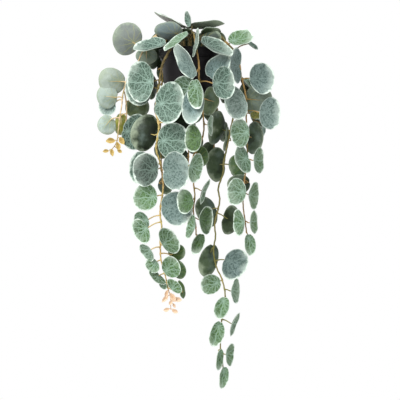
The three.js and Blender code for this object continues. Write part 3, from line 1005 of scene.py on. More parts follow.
@dataclass
class Stalks:
    """How stems and leaf stalks are drawn as curves with a round or lobed section."""

    stem_end_radius: float = 1.0 * MM
    stem_step: float = 3 * MM
    lobes: int = 3
    lobe_depth: float = 0.14
    lobe_inset: float = 0.6
    section_sides: int = 12
    twist: float = math.tau / (26 * MM)
    knot_size: float = 0.28
    knot_reach: float = 2.6 * MM
    stalk_radius: float = 0.85 * MM
    stalk_end_radius: float = 0.5 * MM
    rib_end_radius: float = 0.25 * MM
    stalk_step: float = 3.5 * MM
    rib_reach: float = 0.06
    short_rib_reach: float = -0.24
    rib_points: int = 4
    flare: float = 0.5
    flare_share: float = 0.2
    thinning_share: float = 0.3
    root_depth: float = 1.15
    approach: float = 0.1
    approach_depth: float = 2.2
    rise: float = 0.2
    arch: float = 0.08

    def section(self) -> bpy.types.Object:
        """The lobed outline that is swept along a stem.

        Returns:
            A flat curve of about unit radius.
        """
        curve = bpy.data.curves.new("stem_section", "CURVE")
        curve.dimensions = "2D"
        spline = curve.splines.new("POLY")
        spline.points.add(self.section_sides - 1)
        spline.use_cyclic_u = True
        for i, point in enumerate(spline.points):
            angle = math.tau * i / self.section_sides
            size = 1 + self.lobe_depth * (math.cos(self.lobes * angle) - self.lobe_inset)
            point.co = (size * math.cos(angle), size * math.sin(angle), 0, 1)
        section = bpy.data.objects.new("stem_section", curve)
        bpy.context.scene.collection.objects.link(section)
        return section

    def curve(self, name: str) -> bpy.types.Object:
        """An empty curve object whose lines become closed tubes.

        Args:
            name: Its name.

        Returns:
            The curve object.
        """
        curve = bpy.data.curves.new(name, "CURVE")
        curve.dimensions = "3D"
        curve.use_fill_caps = True
        curve.twist_mode = "MINIMUM"
        piece = bpy.data.objects.new(name, curve)
        bpy.context.scene.collection.objects.link(piece)
        return piece

    def drawn(self, piece: bpy.types.Object, points: Sequence[Vector],
              radii: Sequence[float], twist: float = 0.0) -> None:
        """Add a line to a curve object.

        Args:
            piece: The curve object.
            points: The points of the line.
            radii: The radius at each point.
            twist: How fast its section turns, in radians a metre.
        """
        spline = piece.data.splines.new("POLY")
        spline.points.add(len(points) - 1)
        way = 0.0
        for i, (point, radius) in enumerate(zip(points, radii)):
            way += (point - points[i - 1]).length if i else 0.0
            spline.points[i].co = (*point, 1)
            spline.points[i].radius = radius
            spline.points[i].tilt = way * twist

    def meshed(self, piece: bpy.types.Object) -> bpy.types.Object:
        """Turn a curve object into a closed mesh.

        Args:
            piece: The curve object.

        Returns:
            The mesh object, its normals outwards.
        """
        pick(piece)
        bpy.ops.object.convert(target="MESH")
        whole = pick(bpy.context.object)
        bpy.ops.object.mode_set(mode="EDIT")
        bpy.ops.mesh.select_all(action="SELECT")
        bpy.ops.mesh.remove_doubles(threshold=1e-6)
        bpy.ops.mesh.normals_make_consistent(inside=False)
        bpy.ops.object.mode_set(mode="OBJECT")
        return whole

    def stems(self, name: str, lines: Sequence[Sequence[Vector]], start: float, end: float,
              knots: Sequence[Vector]) -> bpy.types.Object:
        """Stems with a lobed, twisted section and a swelling at each stalk.

        Args:
            name: The piece's name.
            lines: The lines of the stems.
            start: The radius where they start.
            end: The radius where they end.
            knots: The places where the stalks leave.

        Returns:
            The mesh of the stems.
        """
        section = self.section()
        piece = self.curve(name)
        piece.data.bevel_mode = "OBJECT"
        piece.data.bevel_object = section
        for line in lines:
            radii = []
            for i, place in enumerate(line):
                near = min((place - knot).length for knot in knots)
                swelling = 1 + self.knot_size * math.exp(-((near / self.knot_reach) ** 2))
                radii.append((start + (end - start) * i / (len(line) - 1)) * swelling)
            self.drawn(piece, line, radii, self.twist)
        mesh = self.meshed(piece)
        bpy.data.objects.remove(section)
        return mesh

    def stalk_line(self, leaf: Leaf, line: Sequence[Vector], blade: Blade, thickness: float
                   ) -> tuple[list[Vector], list[Vector]]:
        """The line of a leaf's stalk, which goes on under the blade as its midrib.

        Args:
            leaf: The leaf.
            line: The stem that carries it.
            blade: The shape of its blade.
            thickness: The thickness of the blade.

        Returns:
            The points of the stalk, and those of the midrib.
        """
        along, _, upper = leaf.axes()
        size = (leaf.long + leaf.wide) / 2 * MM

        def under(share: float, below: float) -> Vector:
            """A place under the blade's middle line."""
            rise = blade.height(share, 0.0, 0.0) * size - below
            return leaf.middle() + along * (share * leaf.long * MM) + upper * rise

        notch = blade.notch_place
        root = under(notch, self.root_depth * thickness)
        before = root - along * (self.approach * leaf.long * MM)
        before -= upper * (self.approach_depth * thickness)
        reach = (nearest_on(line, before) - before).length
        start = nearest_on(line, before + Vector((0, 0, self.rise * reach)))
        bend = start.lerp(before, 0.5) + Vector((0, 0, self.arch * reach))
        points = smooth_line([start, bend, before, root], self.stalk_step)
        reach = self.rib_reach if leaf.tint in RIBBED else self.short_rib_reach
        step = (reach - notch) / self.rib_points
        rib = [under(notch + step * (i + 1), thickness) for i in range(self.rib_points)]
        return points, rib

    def stalks(self, name: str, leaves: Sequence[Leaf], lines: Sequence[Sequence[Vector]],
               blade: Blade, thickness: float, scale: float = 1.0
               ) -> tuple[bpy.types.Object, list[Vector]]:
        """The stalks of a stem's leaves.

        Args:
            name: The piece's name.
            leaves: The leaves.
            lines: The lines of the stem and its branches.
            blade: The shape of their blades.
            thickness: The thickness of their blades.
            scale: How thick the stalks are, against those of full-grown leaves.

        Returns:
            The mesh of the stalks, and the places where they leave the stem.
        """
        piece = self.curve(name)
        piece.data.bevel_depth = 1.0
        piece.data.bevel_resolution = 2
        knots = []
        for leaf in leaves:
            line = min(lines, key=lambda points: (nearest_on(points, leaf.middle())
                                                  - leaf.middle()).length)
            stalk, rib = self.stalk_line(leaf, line, blade, thickness)
            knots.append(stalk[0])
            radii = []
            for i in range(len(stalk)):
                left = len(stalk) - 1 - i
                flare = 1 + self.flare * max(0.0, 1 - i / (self.flare_share * len(stalk)))
                root = max(0.0, 1 - left / (self.thinning_share * len(stalk)))
                thinning = (self.stalk_end_radius - self.stalk_radius) * root
                radii.append(scale * (self.stalk_radius * flare + thinning))
            for i in range(len(rib)):
                share = (i + 1) / len(rib)
                thinning = (self.rib_end_radius - self.stalk_end_radius) * share
                radii.append(scale * (self.stalk_end_radius + thinning))
            self.drawn(piece, stalk + rib, radii)
        return self.meshed(piece), knots


STALKS = Stalks()

# Where the soil's top lies and how a stem stands in it, in millimetres
SOIL_CROWN = 8.0
SOIL_EDGE = 5.0
ROOT_DEPTH = 18.0
UPRIGHT_RISE = 3.0

# The draw that varies the guessed leaves, the same one as for the solids
DRAW_SPREAD = 7919
DRAW_FACTOR = 16807
DRAW_LIMIT = 2147483647


@dataclass
class LeafyStem:
    """A leafy stem that rises from the soil, arches over the rim and hangs below the pot."""

    name: str
    root: tuple[float, float]
    route: list[tuple[float, float, float]]
    leaves: list[Leaf]
    seed: int
    branches: list[list[tuple[float, float, float]]] = field(default_factory=list)
    wood: StemFinish = BROWN_STEM
    radius: float = 1.5 * MM

    def lines(self) -> list[list[Vector]]:
        """The smooth lines of the stem and its branches.

        Returns:
            The stem's line, and each branch's.
        """
        x, y = (value * MM for value in self.root)
        heights = (-ROOT_DEPTH, SOIL_EDGE, SOIL_CROWN + UPRIGHT_RISE)
        foot = [Vector((x, y, z * MM)) for z in heights]
        main = smooth_line(foot + [placed(*spot) for spot in self.route], STALKS.stem_step)
        others = [smooth_line([placed(*spot) for spot in branch], STALKS.stem_step)
                  for branch in self.branches]
        return [main, *others]

    def build(self, foliage: Foliage) -> list[bpy.types.Object]:
        """Model the stem with its stalks, and its blades.

        Args:
            foliage: What makes the blades.

        Returns:
            The two pieces.
        """
        lines = self.lines()
        above = next(i for i, point in enumerate(lines[0]) if point.z > SOIL_CROWN * MM)
        free = [lines[0][above:], *lines[1:]]
        stalks, knots = STALKS.stalks(f"{self.name}_stalks", self.leaves, free,
                                      foliage.shape, foliage.thickness)
        trunk = STALKS.stems(f"{self.name}_trunk", lines[:1], self.radius,
                             STALKS.stem_end_radius, knots)
        parts = [trunk, stalks]
        if self.branches:
            parts.append(STALKS.stems(f"{self.name}_branch", lines[1:], STALKS.stem_end_radius,
                                      STALKS.stem_end_radius, knots))
        wood = joined(parts, f"{self.name}_wood")
        dressed(wood, FINISHES.stem(self.wood))
        smoothed(wood, PLANT_CREASE)
        blades = foliage.grown(self.leaves, f"{self.name}_blades", self.seed)
        for piece in (wood, blades):
            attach(piece, BODY)
            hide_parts(self.name)
        return [wood, blades]


@dataclass(frozen=True)
class LeafRule:
    """The rule that the leaves of a stem at the back follow, with what varies them."""

    seed: int
    count: int
    facing: float
    turn: float
    first: int = 0
    large: float = 46.0
    small: float = 28.0
    variation: float = 0.08
    length_share: float = 0.82
    start: float = 0.2
    lift: float = 55.0
    offset: float = 8.0
    jitter: float = 14.0
    outward: float = 7.0
    sag: float = 0.1
    green_below: float = -130.0

    def draws(self) -> Callable[[], float]:
        """The repeatable draw that varies the leaves.

        Returns:
            What gives the next number, from 0 to 1.
        """
        state = self.seed * DRAW_SPREAD

        def draw() -> float:
            """The next number, from 0 to 1."""
            nonlocal state
            state = (state * DRAW_FACTOR) % DRAW_LIMIT
            return state / DRAW_LIMIT

        return draw

    def leaves(self, route: Sequence[tuple[float, float, float]]) -> list[Leaf]:
        """The leaves along a route.

        Args:
            route: The places of the route.

        Returns:
            The leaves, from the pot to the stem's end.
        """
        draw = self.draws()
        facing = math.radians(self.facing)
        found = []
        for k in range(self.count):
            share = k / (self.count - 1)
            way = (self.start + (1 - self.start) * share) * (len(route) - 1)
            first = min(int(way), len(route) - 2)
            across, depth, height = (
                a + (b - a) * (way - first) for a, b in zip(route[first], route[first + 1])
            )
            hand = 1 if (k + self.first) % 2 == 0 else -1
            wide = self.large + (self.small - self.large) * share
            wide *= 1 + self.variation * (2 * draw() - 1)
            turn = self.facing + hand * (self.turn + self.jitter * (draw() - 0.5))
            fan = min(1.0, 0.3 + 2 * share) * (1 - 0.2 * share)
            tip = hand * (90 + self.jitter * (draw() - 0.5)) * fan
            lift = self.lift * max(0.0, 1 - 3 * share) + self.jitter * (draw() - 0.5)
            outward = self.outward * (0.5 + draw())
            near_pot = Tint.GREY if k % 3 else Tint.SAGE
            tint = Tint.GREEN if height < self.green_below else near_pot
            found.append(Leaf(
                across + hand * self.offset * math.cos(facing) + outward * math.sin(facing),
                depth + hand * self.offset * math.sin(facing) - outward * math.cos(facing),
                height - self.sag * wide,
                wide, wide * self.length_share, turn, tip, lift, tint,
            ))
        return found


def ruled_stem(name: str, root: tuple[float, float],
               route: list[tuple[float, float, float]], rule: LeafRule) -> LeafyStem:
    """A stem at the back, whose leaves follow a rule.

    Args:
        name: Its name.
        root: Where it leaves the soil.
        route: The places that it passes.
        rule: The rule of its leaves.

    Returns:
        The stem.
    """
    return LeafyStem(name, root, route, rule.leaves(route), rule.seed)


@dataclass
class YoungTuft:
    """A tuft of small crinkled young leaves at a stem's end."""

    name: str
    slot: str
    finish: YoungFinish
    route: list[tuple[float, float, float]]
    leaves: list[Leaf]
    thickness: float = 0.5 * MM
    stem_radius: float = 0.6 * MM
    stem_end_radius: float = 0.48 * MM
    stem_step: float = 1.5 * MM
    stalk_scale: float = 0.6
    seed: int = 5

    def build(self) -> bpy.types.Object:
        """Model the tuft.

        Returns:
            The piece.
        """
        shape = Blade(sectors=28, rings=(0.86, 0.6, 0.3, 0.0), dish=0.4, fold=0.3, ripple=0.05,
                      ripple_count=3, scallop=0.03, scallop_count=7, sway=0.05, point=0.8)
        foliage = Foliage(thickness=self.thickness, variants=4, shape=shape)
        foliage.prepare()
        line = smooth_line([placed(*spot) for spot in self.route], self.stem_step)
        stalks, knots = STALKS.stalks(f"{self.name}_stalks", self.leaves, [line], shape,
                                      self.thickness, self.stalk_scale)
        stem = STALKS.stems(f"{self.name}_stem", [line], self.stem_radius,
                            self.stem_end_radius, knots)
        blades = foliage.grown(self.leaves, f"{self.name}_blades", self.seed)
        foliage.tidy_away()
        tuft = joined([stem, stalks, blades], f"{self.name}_tuft")
        dressed(tuft, [self.finish.material()])
        for face in tuft.data.polygons:
            face.material_index = 0
        smoothed(tuft, PLANT_CREASE)
        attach(tuft, BODY)
        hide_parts(self.name)
        return tuft


def turned(name: str, profile: Sequence[tuple[float, float]], sides: int) -> bpy.types.Object:
    """A round body drawn up ring by ring from its base.

    Args:
        name: The object's name.
        profile: The radius and height of each ring, in millimetres, from the base.
        sides: The number of sides.

    Returns:
        The closed body.
    """
    (radius, height), rest = profile[0], profile[1:]
    deselect()
    bpy.ops.mesh.primitive_circle_add(vertices=sides, radius=radius * MM, fill_type="NGON",
                                      location=(0, 0, 0))
    body = bpy.context.object
    body.name = name
    body.data.transform(Matrix.Translation((0, 0, height * MM)))
    bpy.ops.object.mode_set(mode="EDIT")
    bpy.ops.mesh.select_all(action="SELECT")
    for next_radius, next_height in rest:
        rise = (next_height - height) * MM
        share = next_radius / radius
        bpy.ops.mesh.extrude_region_move(TRANSFORM_OT_translate={"value": (0, 0, rise)})
        bpy.ops.transform.resize(value=(share, share, 1),
                                 center_override=(0, 0, next_height * MM))
        radius, height = next_radius, next_height
    bpy.ops.mesh.select_all(action="SELECT")
    bpy.ops.mesh.normals_make_consistent(inside=False)
    bpy.ops.object.mode_set(mode="OBJECT")
    return body


@dataclass
class Pot:
    """The round black nursery pot, with a stepped rim and drain holes."""

    rim_radius: float = 45.0
    rim_height: float = 10.0
    neck_radius: float = 42.0
    base_radius: float = 32.5
    body_height: float = 81.0
    wall: float = 1.4
    lip: float = 0.8
    foot_height: float = 3.0
    foot_inset: float = 0.7
    drain_radius: float = 3.5
    drain_circle: float = 20.0
    drain_count: int = 4
    sides: int = 96
    corner: float = 0.45
    corner_angle: float = 28.0
    crease: float = 35.0
    bead: float = 0.5

    def slope(self, height: float) -> float:
        """The radius of the outer wall at a height."""
        share = (height + self.body_height) / self.body_height
        return self.base_radius + (self.neck_radius - self.base_radius) * share

    def profile(self) -> list[tuple[float, float]]:
        """The rings of the pot, with a bead below its rim and a lip on top.

        Returns:
            The radius and height of each, from the outside of its base to its inner floor.
        """
        foot = self.foot_height - self.body_height
        inner = self.rim_radius - self.wall
        outside = [
            (self.base_radius - self.foot_inset, -self.body_height),
            (self.base_radius - self.foot_inset, foot),
            (self.slope(foot), foot + 0.4),
            (self.slope(-6.0), -6.0),
            (self.slope(-5.2) + self.bead, -5.2),
            (self.slope(-4.0) + self.bead, -4.0),
            (self.slope(-3.2), -3.2),
            (self.neck_radius, 0.0),
            (self.rim_radius, 0.0),
            (self.rim_radius - 0.3, self.rim_height - 2.2),
            (self.rim_radius + self.lip - 0.3, self.rim_height - 1.8),
            (self.rim_radius + self.lip - 0.3, self.rim_height - 0.5),
            (self.rim_radius - 0.2, self.rim_height),
        ]
        inside = [
            (inner, self.rim_height),
            (inner, self.wall),
            (self.neck_radius - self.wall, self.wall),
            (self.base_radius - self.wall, self.wall - self.body_height),
        ]
        return outside + inside

    def drain(self, angle: float) -> bpy.types.Object:
        """A bar that cuts one drain hole.

        Args:
            angle: Where the hole lies around the pot's axis.

        Returns:
            The bar.
        """
        deselect()
        reach = self.drain_circle * MM
        place = (reach * math.cos(angle), reach * math.sin(angle), -self.body_height * MM)
        bpy.ops.mesh.primitive_cylinder_add(vertices=24, radius=self.drain_radius * MM,
                                            depth=6 * MM, location=place)
        bar = pick(bpy.context.object)
        bpy.ops.object.transform_apply(location=True, rotation=True, scale=True)
        return bar

    def build(self) -> bpy.types.Object:
        """Model the pot.

        Returns:
            The piece.
        """
        pot = turned("nursery_pot", self.profile(), self.sides)
        angles = [math.tau * (i + 0.5) / self.drain_count for i in range(self.drain_count)]
        bars = joined([self.drain(angle) for angle in angles], "drain_bars")
        holes = pot.modifiers.new("drain_holes", "BOOLEAN")
        holes.object = bars
        holes.solver = "EXACT"
        finish_modifiers(pot)
        bpy.data.objects.remove(bars)
        corners = pot.modifiers.new("corners", "BEVEL")
        corners.width = self.corner * MM
        corners.segments = 2
        corners.limit_method = "ANGLE"
        corners.angle_limit = math.radians(self.corner_angle)
        finish_modifiers(pot)
        dressed(pot, [PlasticFinish().material()])
        smoothed(pot, self.crease)
        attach(pot, BODY)
        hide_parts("pot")
        return pot


@dataclass
class Soil:
    """Potting soil that fills the pot, lumpy on top and strewn with crumbs."""

    foot_radius: float = 30.8
    floor: float = -79.3
    neck_radius: float = 40.3
    ledge: float = 1.7
    lip_radius: float = 43.4
    edge: float = SOIL_EDGE
    crown: float = SOIL_CROWN
    rings: int = 14
    sides: int = 72
    lump_height: float = 1.1
    crumb_count: int = 90
    crumb_sizes: tuple[float, float] = (0.9, 2.3)
    crumb_seed: int = 11
    crease: float = 50.0

    def top(self, x: float, y: float) -> float:
        """How high the lumpy surface lies, all in millimetres.

        Args:
            x: The place to the right of the axis.
            y: The place behind the axis.

        Returns:
            The height.
        """
        reach = math.hypot(x, y) / self.lip_radius
        base = self.crown - (self.crown - self.edge) * max(0.0, 2 * reach - 1)
        lumps = noise.noise(Vector((x, y, 0)) / 6) + 0.5 * noise.noise(Vector((x, y, 9)) / 2.5)
        return base + self.lump_height * lumps * min(1.0, 6 * (1.0001 - reach))

    def body(self) -> bpy.types.Object:
        """Model the soil without its crumbs.

        Returns:
            The body, its top lumpy.
        """
        profile = [(self.foot_radius, self.floor), (self.neck_radius, self.ledge),
                   (self.lip_radius, self.ledge), (self.lip_radius, self.edge)]
        for i in range(1, self.rings):
            profile.append((self.lip_radius * (1 - i / self.rings), self.crown))
        body = turned("soil_body", profile, self.sides)
        for vertex in body.data.vertices:
            if vertex.co.z > (self.ledge + 0.5) * MM:
                vertex.co.z = self.top(vertex.co.x / MM, vertex.co.y / MM) * MM
        return body

    def crumbs(self) -> list[bpy.types.Object]:
        """Strew crumbs that are copied from one rough lump.

        Returns:
            The crumbs.
        """
        deselect()
        bpy.ops.mesh.primitive_ico_sphere_add(subdivisions=2, radius=1, location=(0, 0, 0))
        crumb = bpy.context.object
        for vertex in crumb.data.vertices:
            vertex.co *= 0.85 + 0.6 * noise.noise(vertex.co * 1.7)
        draw = random.Random(self.crumb_seed)
        found = []
        for _ in range(self.crumb_count):
            angle = draw.uniform(0, math.tau)
            reach = (self.lip_radius - 2) * math.sqrt(draw.random())
            x, y = reach * math.cos(angle), reach * math.sin(angle)
            size = draw.uniform(*self.crumb_sizes)
            place = Matrix.Translation(Vector((x, y, self.top(x, y) + 0.2 * size)) * MM)
            turn = Matrix.Rotation(draw.uniform(0, math.tau), 4, "Z")
            flat = Matrix.Diagonal((size * MM, size * MM, 0.7 * size * MM, 1))
            found.append(copied(crumb, place @ turn @ flat))
        bpy.data.objects.remove(crumb)
        return found

    def build(self) -> bpy.types.Object:
        """Model the soil.

        Returns:
            The piece.
        """
        soil = joined([self.body(), *self.crumbs()], "potting_soil")
        dressed(soil, [SoilFinish().material()])
        smoothed(soil, self.crease)
        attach(soil, BODY)
        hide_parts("soil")
        return soil


@dataclass
class Studio:
    """A white surround, a soft light from the upper left, a pale floor and the camera."""

    floor_radius: float = 0.66
    floor_height: float = -0.62
    key_place: tuple[float, float, float] = (-1.1, -1.7, 1.3)
    key_size: float = 1.2
    key_power: float = 60.0
    key_aim: tuple[float, float, float] = (0.0, 0.0, -0.2)
    sensor: float = 36.0
    levels: tuple[tuple[float, float], ...] = ((0.0, 0.12), (0.33, 1.0), (0.62, 1.0), (1.0, 0.55))

    def surround(self) -> None:
        """Make a world that is white around the camera's level and dimmer above and below."""
        world = bpy.data.worlds.new("studio")
        world.use_nodes = True
        bpy.context.scene.world = world
        nodes, links = world.node_tree.nodes, world.node_tree.links
        place = nodes.new("ShaderNodeTexCoord")
        split = nodes.new("ShaderNodeSeparateXYZ")
        ramp = nodes.new("ShaderNodeValToRGB")
        shifted = nodes.new("ShaderNodeMath")
        shifted.operation = "MULTIPLY_ADD"
        shifted.inputs[1].default_value = 0.5
        shifted.inputs[2].default_value = 0.5
        links.new(place.outputs["Generated"], split.inputs[0])
        links.new(split.outputs[2], shifted.inputs[0])
        links.new(shifted.outputs[0], ramp.inputs[0])
        links.new(ramp.outputs[0], nodes["Background"].inputs[0])
        for position, _ in self.levels[1:-1]:
            ramp.color_ramp.elements.new(position)
        for element, (_, level) in zip(ramp.color_ramp.elements, self.levels):
            element.color = (level, level, level, 1)

    def light(self) -> None:
        """Add the soft key light."""
        lamp = bpy.data.lights.new("key", "AREA")
        lamp.size = self.key_size
        lamp.energy = self.key_power
        key = bpy.data.objects.new("key", lamp)
        key.location = self.key_place
        aim = Vector(self.key_aim) - key.location
        key.rotation_euler = aim.to_track_quat("-Z", "Y").to_euler()
        bpy.context.scene.collection.objects.link(key)

    def floor(self) -> None:
        """Add the pale round floor, which lies below the photograph's view."""
        deselect()
        bpy.ops.mesh.primitive_circle_add(vertices=96, radius=self.floor_radius,
                                          fill_type="NGON", location=(0, 0, self.floor_height))
        floor = bpy.context.object
        floor.name = "studio_floor"
        graph = Graph("studio_floor", 0.8)
        grain = graph.noise(graph.objects(), 40.0, 3.0)
        colour = graph.mix(grain, (0.76, 0.75, 0.74), (0.84, 0.83, 0.82))
        dressed(floor, [graph.done(colour)])

    def camera(self) -> None:
        """Set the camera at the photograph's viewing angle."""
        camera = bpy.data.cameras.new("front_view")
        camera.sensor_width = self.sensor
        camera.lens = self.sensor * VIEW_DISTANCE / VIEW_WIDTH
        eye = bpy.data.objects.new("front_view", camera)
        eye.location = (VIEW_ACROSS, -VIEW_DISTANCE, VIEW_HEIGHT)
        eye.rotation_euler = (math.radians(90), 0, 0)
        bpy.context.scene.collection.objects.link(eye)
        bpy.context.scene.camera = eye

    def build(self) -> None:
        """Set up the studio."""
        bpy.context.scene.view_settings.view_transform = "Standard"
        self.surround()
        self.light()
        self.floor()
        self.camera()


LEFT_STEM = LeafyStem(
    name="left_stem",
    root=(-12, 1),
    route=[
        (-20, 0, 30), (-38, -2, 37), (-55, -5, 27), (-68, -7, 9), (-75, -8, -6),
        (-84, -8, -22), (-90, -8, -29), (-97, -8, -52), (-99, -8, -70), (-102, -8, -88),
        (-105, -8, -116),
    ],
    branches=[
        [(-96, -8, -48), (-93, -3, -62), (-92, 4, -85), (-96, 6, -112)],
    ],
    leaves=[
        Leaf(-93, 8, 26, 50, 43, -15, -116, -15, Tint.ASH, Side.UNDER),
        Leaf(-57, -22, 14, 38, 47, -18, -69, 54),
        Leaf(-63, 2, 0, 32, 28, 0, 0, -40, Tint.SLATE, Side.UNDER),
        Leaf(-113, -6, -35, 39, 39, 10, -90, -10, Tint.PALE, Side.UNDER),
        Leaf(-120, -4, -57, 34, 31, 5, -95, -10, Tint.PALE, Side.UNDER),
        Leaf(-119, 10, -72, 26, 27, -15, -60, 0, Tint.PALE),
        Leaf(-121, -8, -98, 28, 27, 0, -40, 0, Tint.PALE, Side.UNDER),
        Leaf(-76, 8, -71, 36, 34, 10, 60, 0, Tint.OLIVE, Side.UNDER),
        Leaf(-79, 0, -109, 54, 38, 5, 80, 0),
        Leaf(-100, 9, -97, 20, 32, 0, 0, 0, Tint.GOLD, Side.UNDER),
    ],
    seed=22,
    wood=PALE_STEM,
    radius=1.3 * MM,
)

FRONT_LEFT_STEM = LeafyStem(
    name="front_left_stem",
    root=(-8, -9),
    route=[
        (-10, -14, 28), (-15, -27, 31), (-22, -38, 22), (-29, -43, 11), (-35, -42, 0),
        (-40, -37, -11), (-44, -29, -33), (-48, -24, -61), (-49, -24, -80), (-45, -23, -98),
        (-46, -23, -112), (-49, -23, -133), (-43, -22, -154), (-40, -22, -173),
        (-39, -22, -191), (-43, -21, -219), (-43, -21, -232), (-41, -21, -245),
        (-43, -21, -257), (-43, -20, -278), (-42, -20, -294), (-36, -20, -316),
        (-32, -20, -335),
    ],
    leaves=[
        Leaf(-30, 10, 50, 38, 52, 71, -163, 63, Tint.DRY),
        Leaf(-31, -17, 35, 34, 40, -8, -100, -47, Tint.ASH, Side.UNDER),
        Leaf(-18, -51, 20, 36, 41, -54, -28, 47, Tint.SAGE),
        Leaf(-28, -47, -67, 60, 44, -20, 90, 5),
        Leaf(-24, -34, -121, 50, 46, -8, 88, 0),
        Leaf(-19, -40, -165, 53, 42, -15, 92, 0, Tint.BLUE),
        Leaf(-19, -26, -219, 48, 46, 0, 85, 0, Tint.BLUE),
        Leaf(-32, -24, -267, 42, 29, 34, 116, 19, Tint.GREEN),
        Leaf(-19, -14, -283, 24, 24, 0, 110, 0, Tint.MOSS, Side.UNDER),
        Leaf(-28, -24, -304, 32, 26, 15, 125, 0, Tint.GREEN),
        Leaf(-15, -16, -308, 28, 20, 20, 110, 0, Tint.MOSS, Side.UNDER),
        Leaf(-23, -24, -332, 26, 15, 20, 135, 10, Tint.GREEN),
        Leaf(-10, -14, -337, 30, 14, 58, 122, 0, Tint.MOSS, Side.UNDER),
        Leaf(-66, -17, -109, 56, 38, 0, -105, 0, Tint.NIGHT, Side.UNDER),
        Leaf(-63, -28, -163, 49, 38, -15, -92, 0, Tint.DUSK),
        Leaf(-70, -16, -160, 46, 36, -15, -90, 0),
        Leaf(-64, -22, -203, 38, 36, -8, -85, 0, Tint.GREEN),
        Leaf(-70, -22, -252, 37, 24, -15, -62, 0, Tint.GREEN),
        Leaf(-70, -14, -238, 28, 22, -10, -75, 0, Tint.SAGE),
        Leaf(-61, -22, -282, 30, 22, -42, -65, -25, Tint.SAGE),
        Leaf(-54, -20, -302, 24, 18, -10, -45, 0, Tint.GREEN),
        Leaf(-49, -22, -321, 30, 20, 47, -58, 42, Tint.GREEN),
        Leaf(-39, -22, -331, 13, 9, 0, -40, 0, Tint.GREEN),
        Leaf(-70, -30, -36, 57, 42, -18, -90, 0),
        Leaf(-74, -20, -46, 50, 38, -10, -85, 0),
        Leaf(-9, -29, -98, 38, 32, 0, 85, 0, Tint.NIGHT, Side.UNDER),
    ],
    seed=59,
    wood=GOLD_STEM,
    radius=2.2 * MM,
)

FRONT_STEM = LeafyStem(
    name="front_stem",
    root=(2, -10),
    route=[
        (2, -15, 28), (4, -25, 36), (6, -37, 32), (8, -47, 18), (11, -51, 3), (13, -51, -12),
        (13, -49, -30), (16, -47, -60), (19, -45, -84), (20, -43, -106), (14, -42, -128),
        (4, -41, -146), (5, -39, -180), (7, -38, -201), (5, -37, -223), (8, -36, -242),
        (9, -36, -258),
    ],
    leaves=[
        Leaf(-1, -6, 56, 20, 23, -65, -175, -12),
        Leaf(-3, -68, -4, 41, 52, -58, -164, -27, Tint.BLUE),
        Leaf(12, -60, 20, 42, 22, -76, 88, 9, Tint.PALE),
        Leaf(11, -70, -54, 28, 42, -40, 8, 0, Tint.GREEN),
        Leaf(-9, -40, -45, 32, 36, 0, -80, 0, Tint.SAGE),
        Leaf(5, -61, -71, 30, 52, -10, -8, 0, Tint.BLUE),
        Leaf(6, -50, -118, 39, 27, -28, -90, 0, Tint.MOSS),
        Leaf(6, -46, -161, 44, 24, 40, 70, 0, Tint.SAGE),
        Leaf(18, -38, -194, 39, 24, 76, 85, -19, Tint.SAGE),
        Leaf(-6, -44, -209, 35, 26, -25, -80, 0, Tint.MOSS),
        Leaf(21, -34, -236, 39, 29, 47, 85, 0, Tint.FOREST),
        Leaf(3, -41, -246, 34, 19, -51, -99, 11, Tint.GREEN),
        Leaf(11, -36, -271, 17, 32, 10, -20, 0, Tint.FOREST),
        Leaf(33, -39, -64, 42, 34, 48, 83, -7, Tint.OLIVE, Side.UNDER),
        Leaf(47, -54, -38, 48, 34, 25, 92, 1),
        Leaf(27, -44, -99, 30, 24, 74, 85, 0, Tint.SAGE),
        Leaf(19, -28, -144, 28, 22, 30, 88, -1, Tint.MOSS, Side.UNDER),
    ],
    seed=88,
)

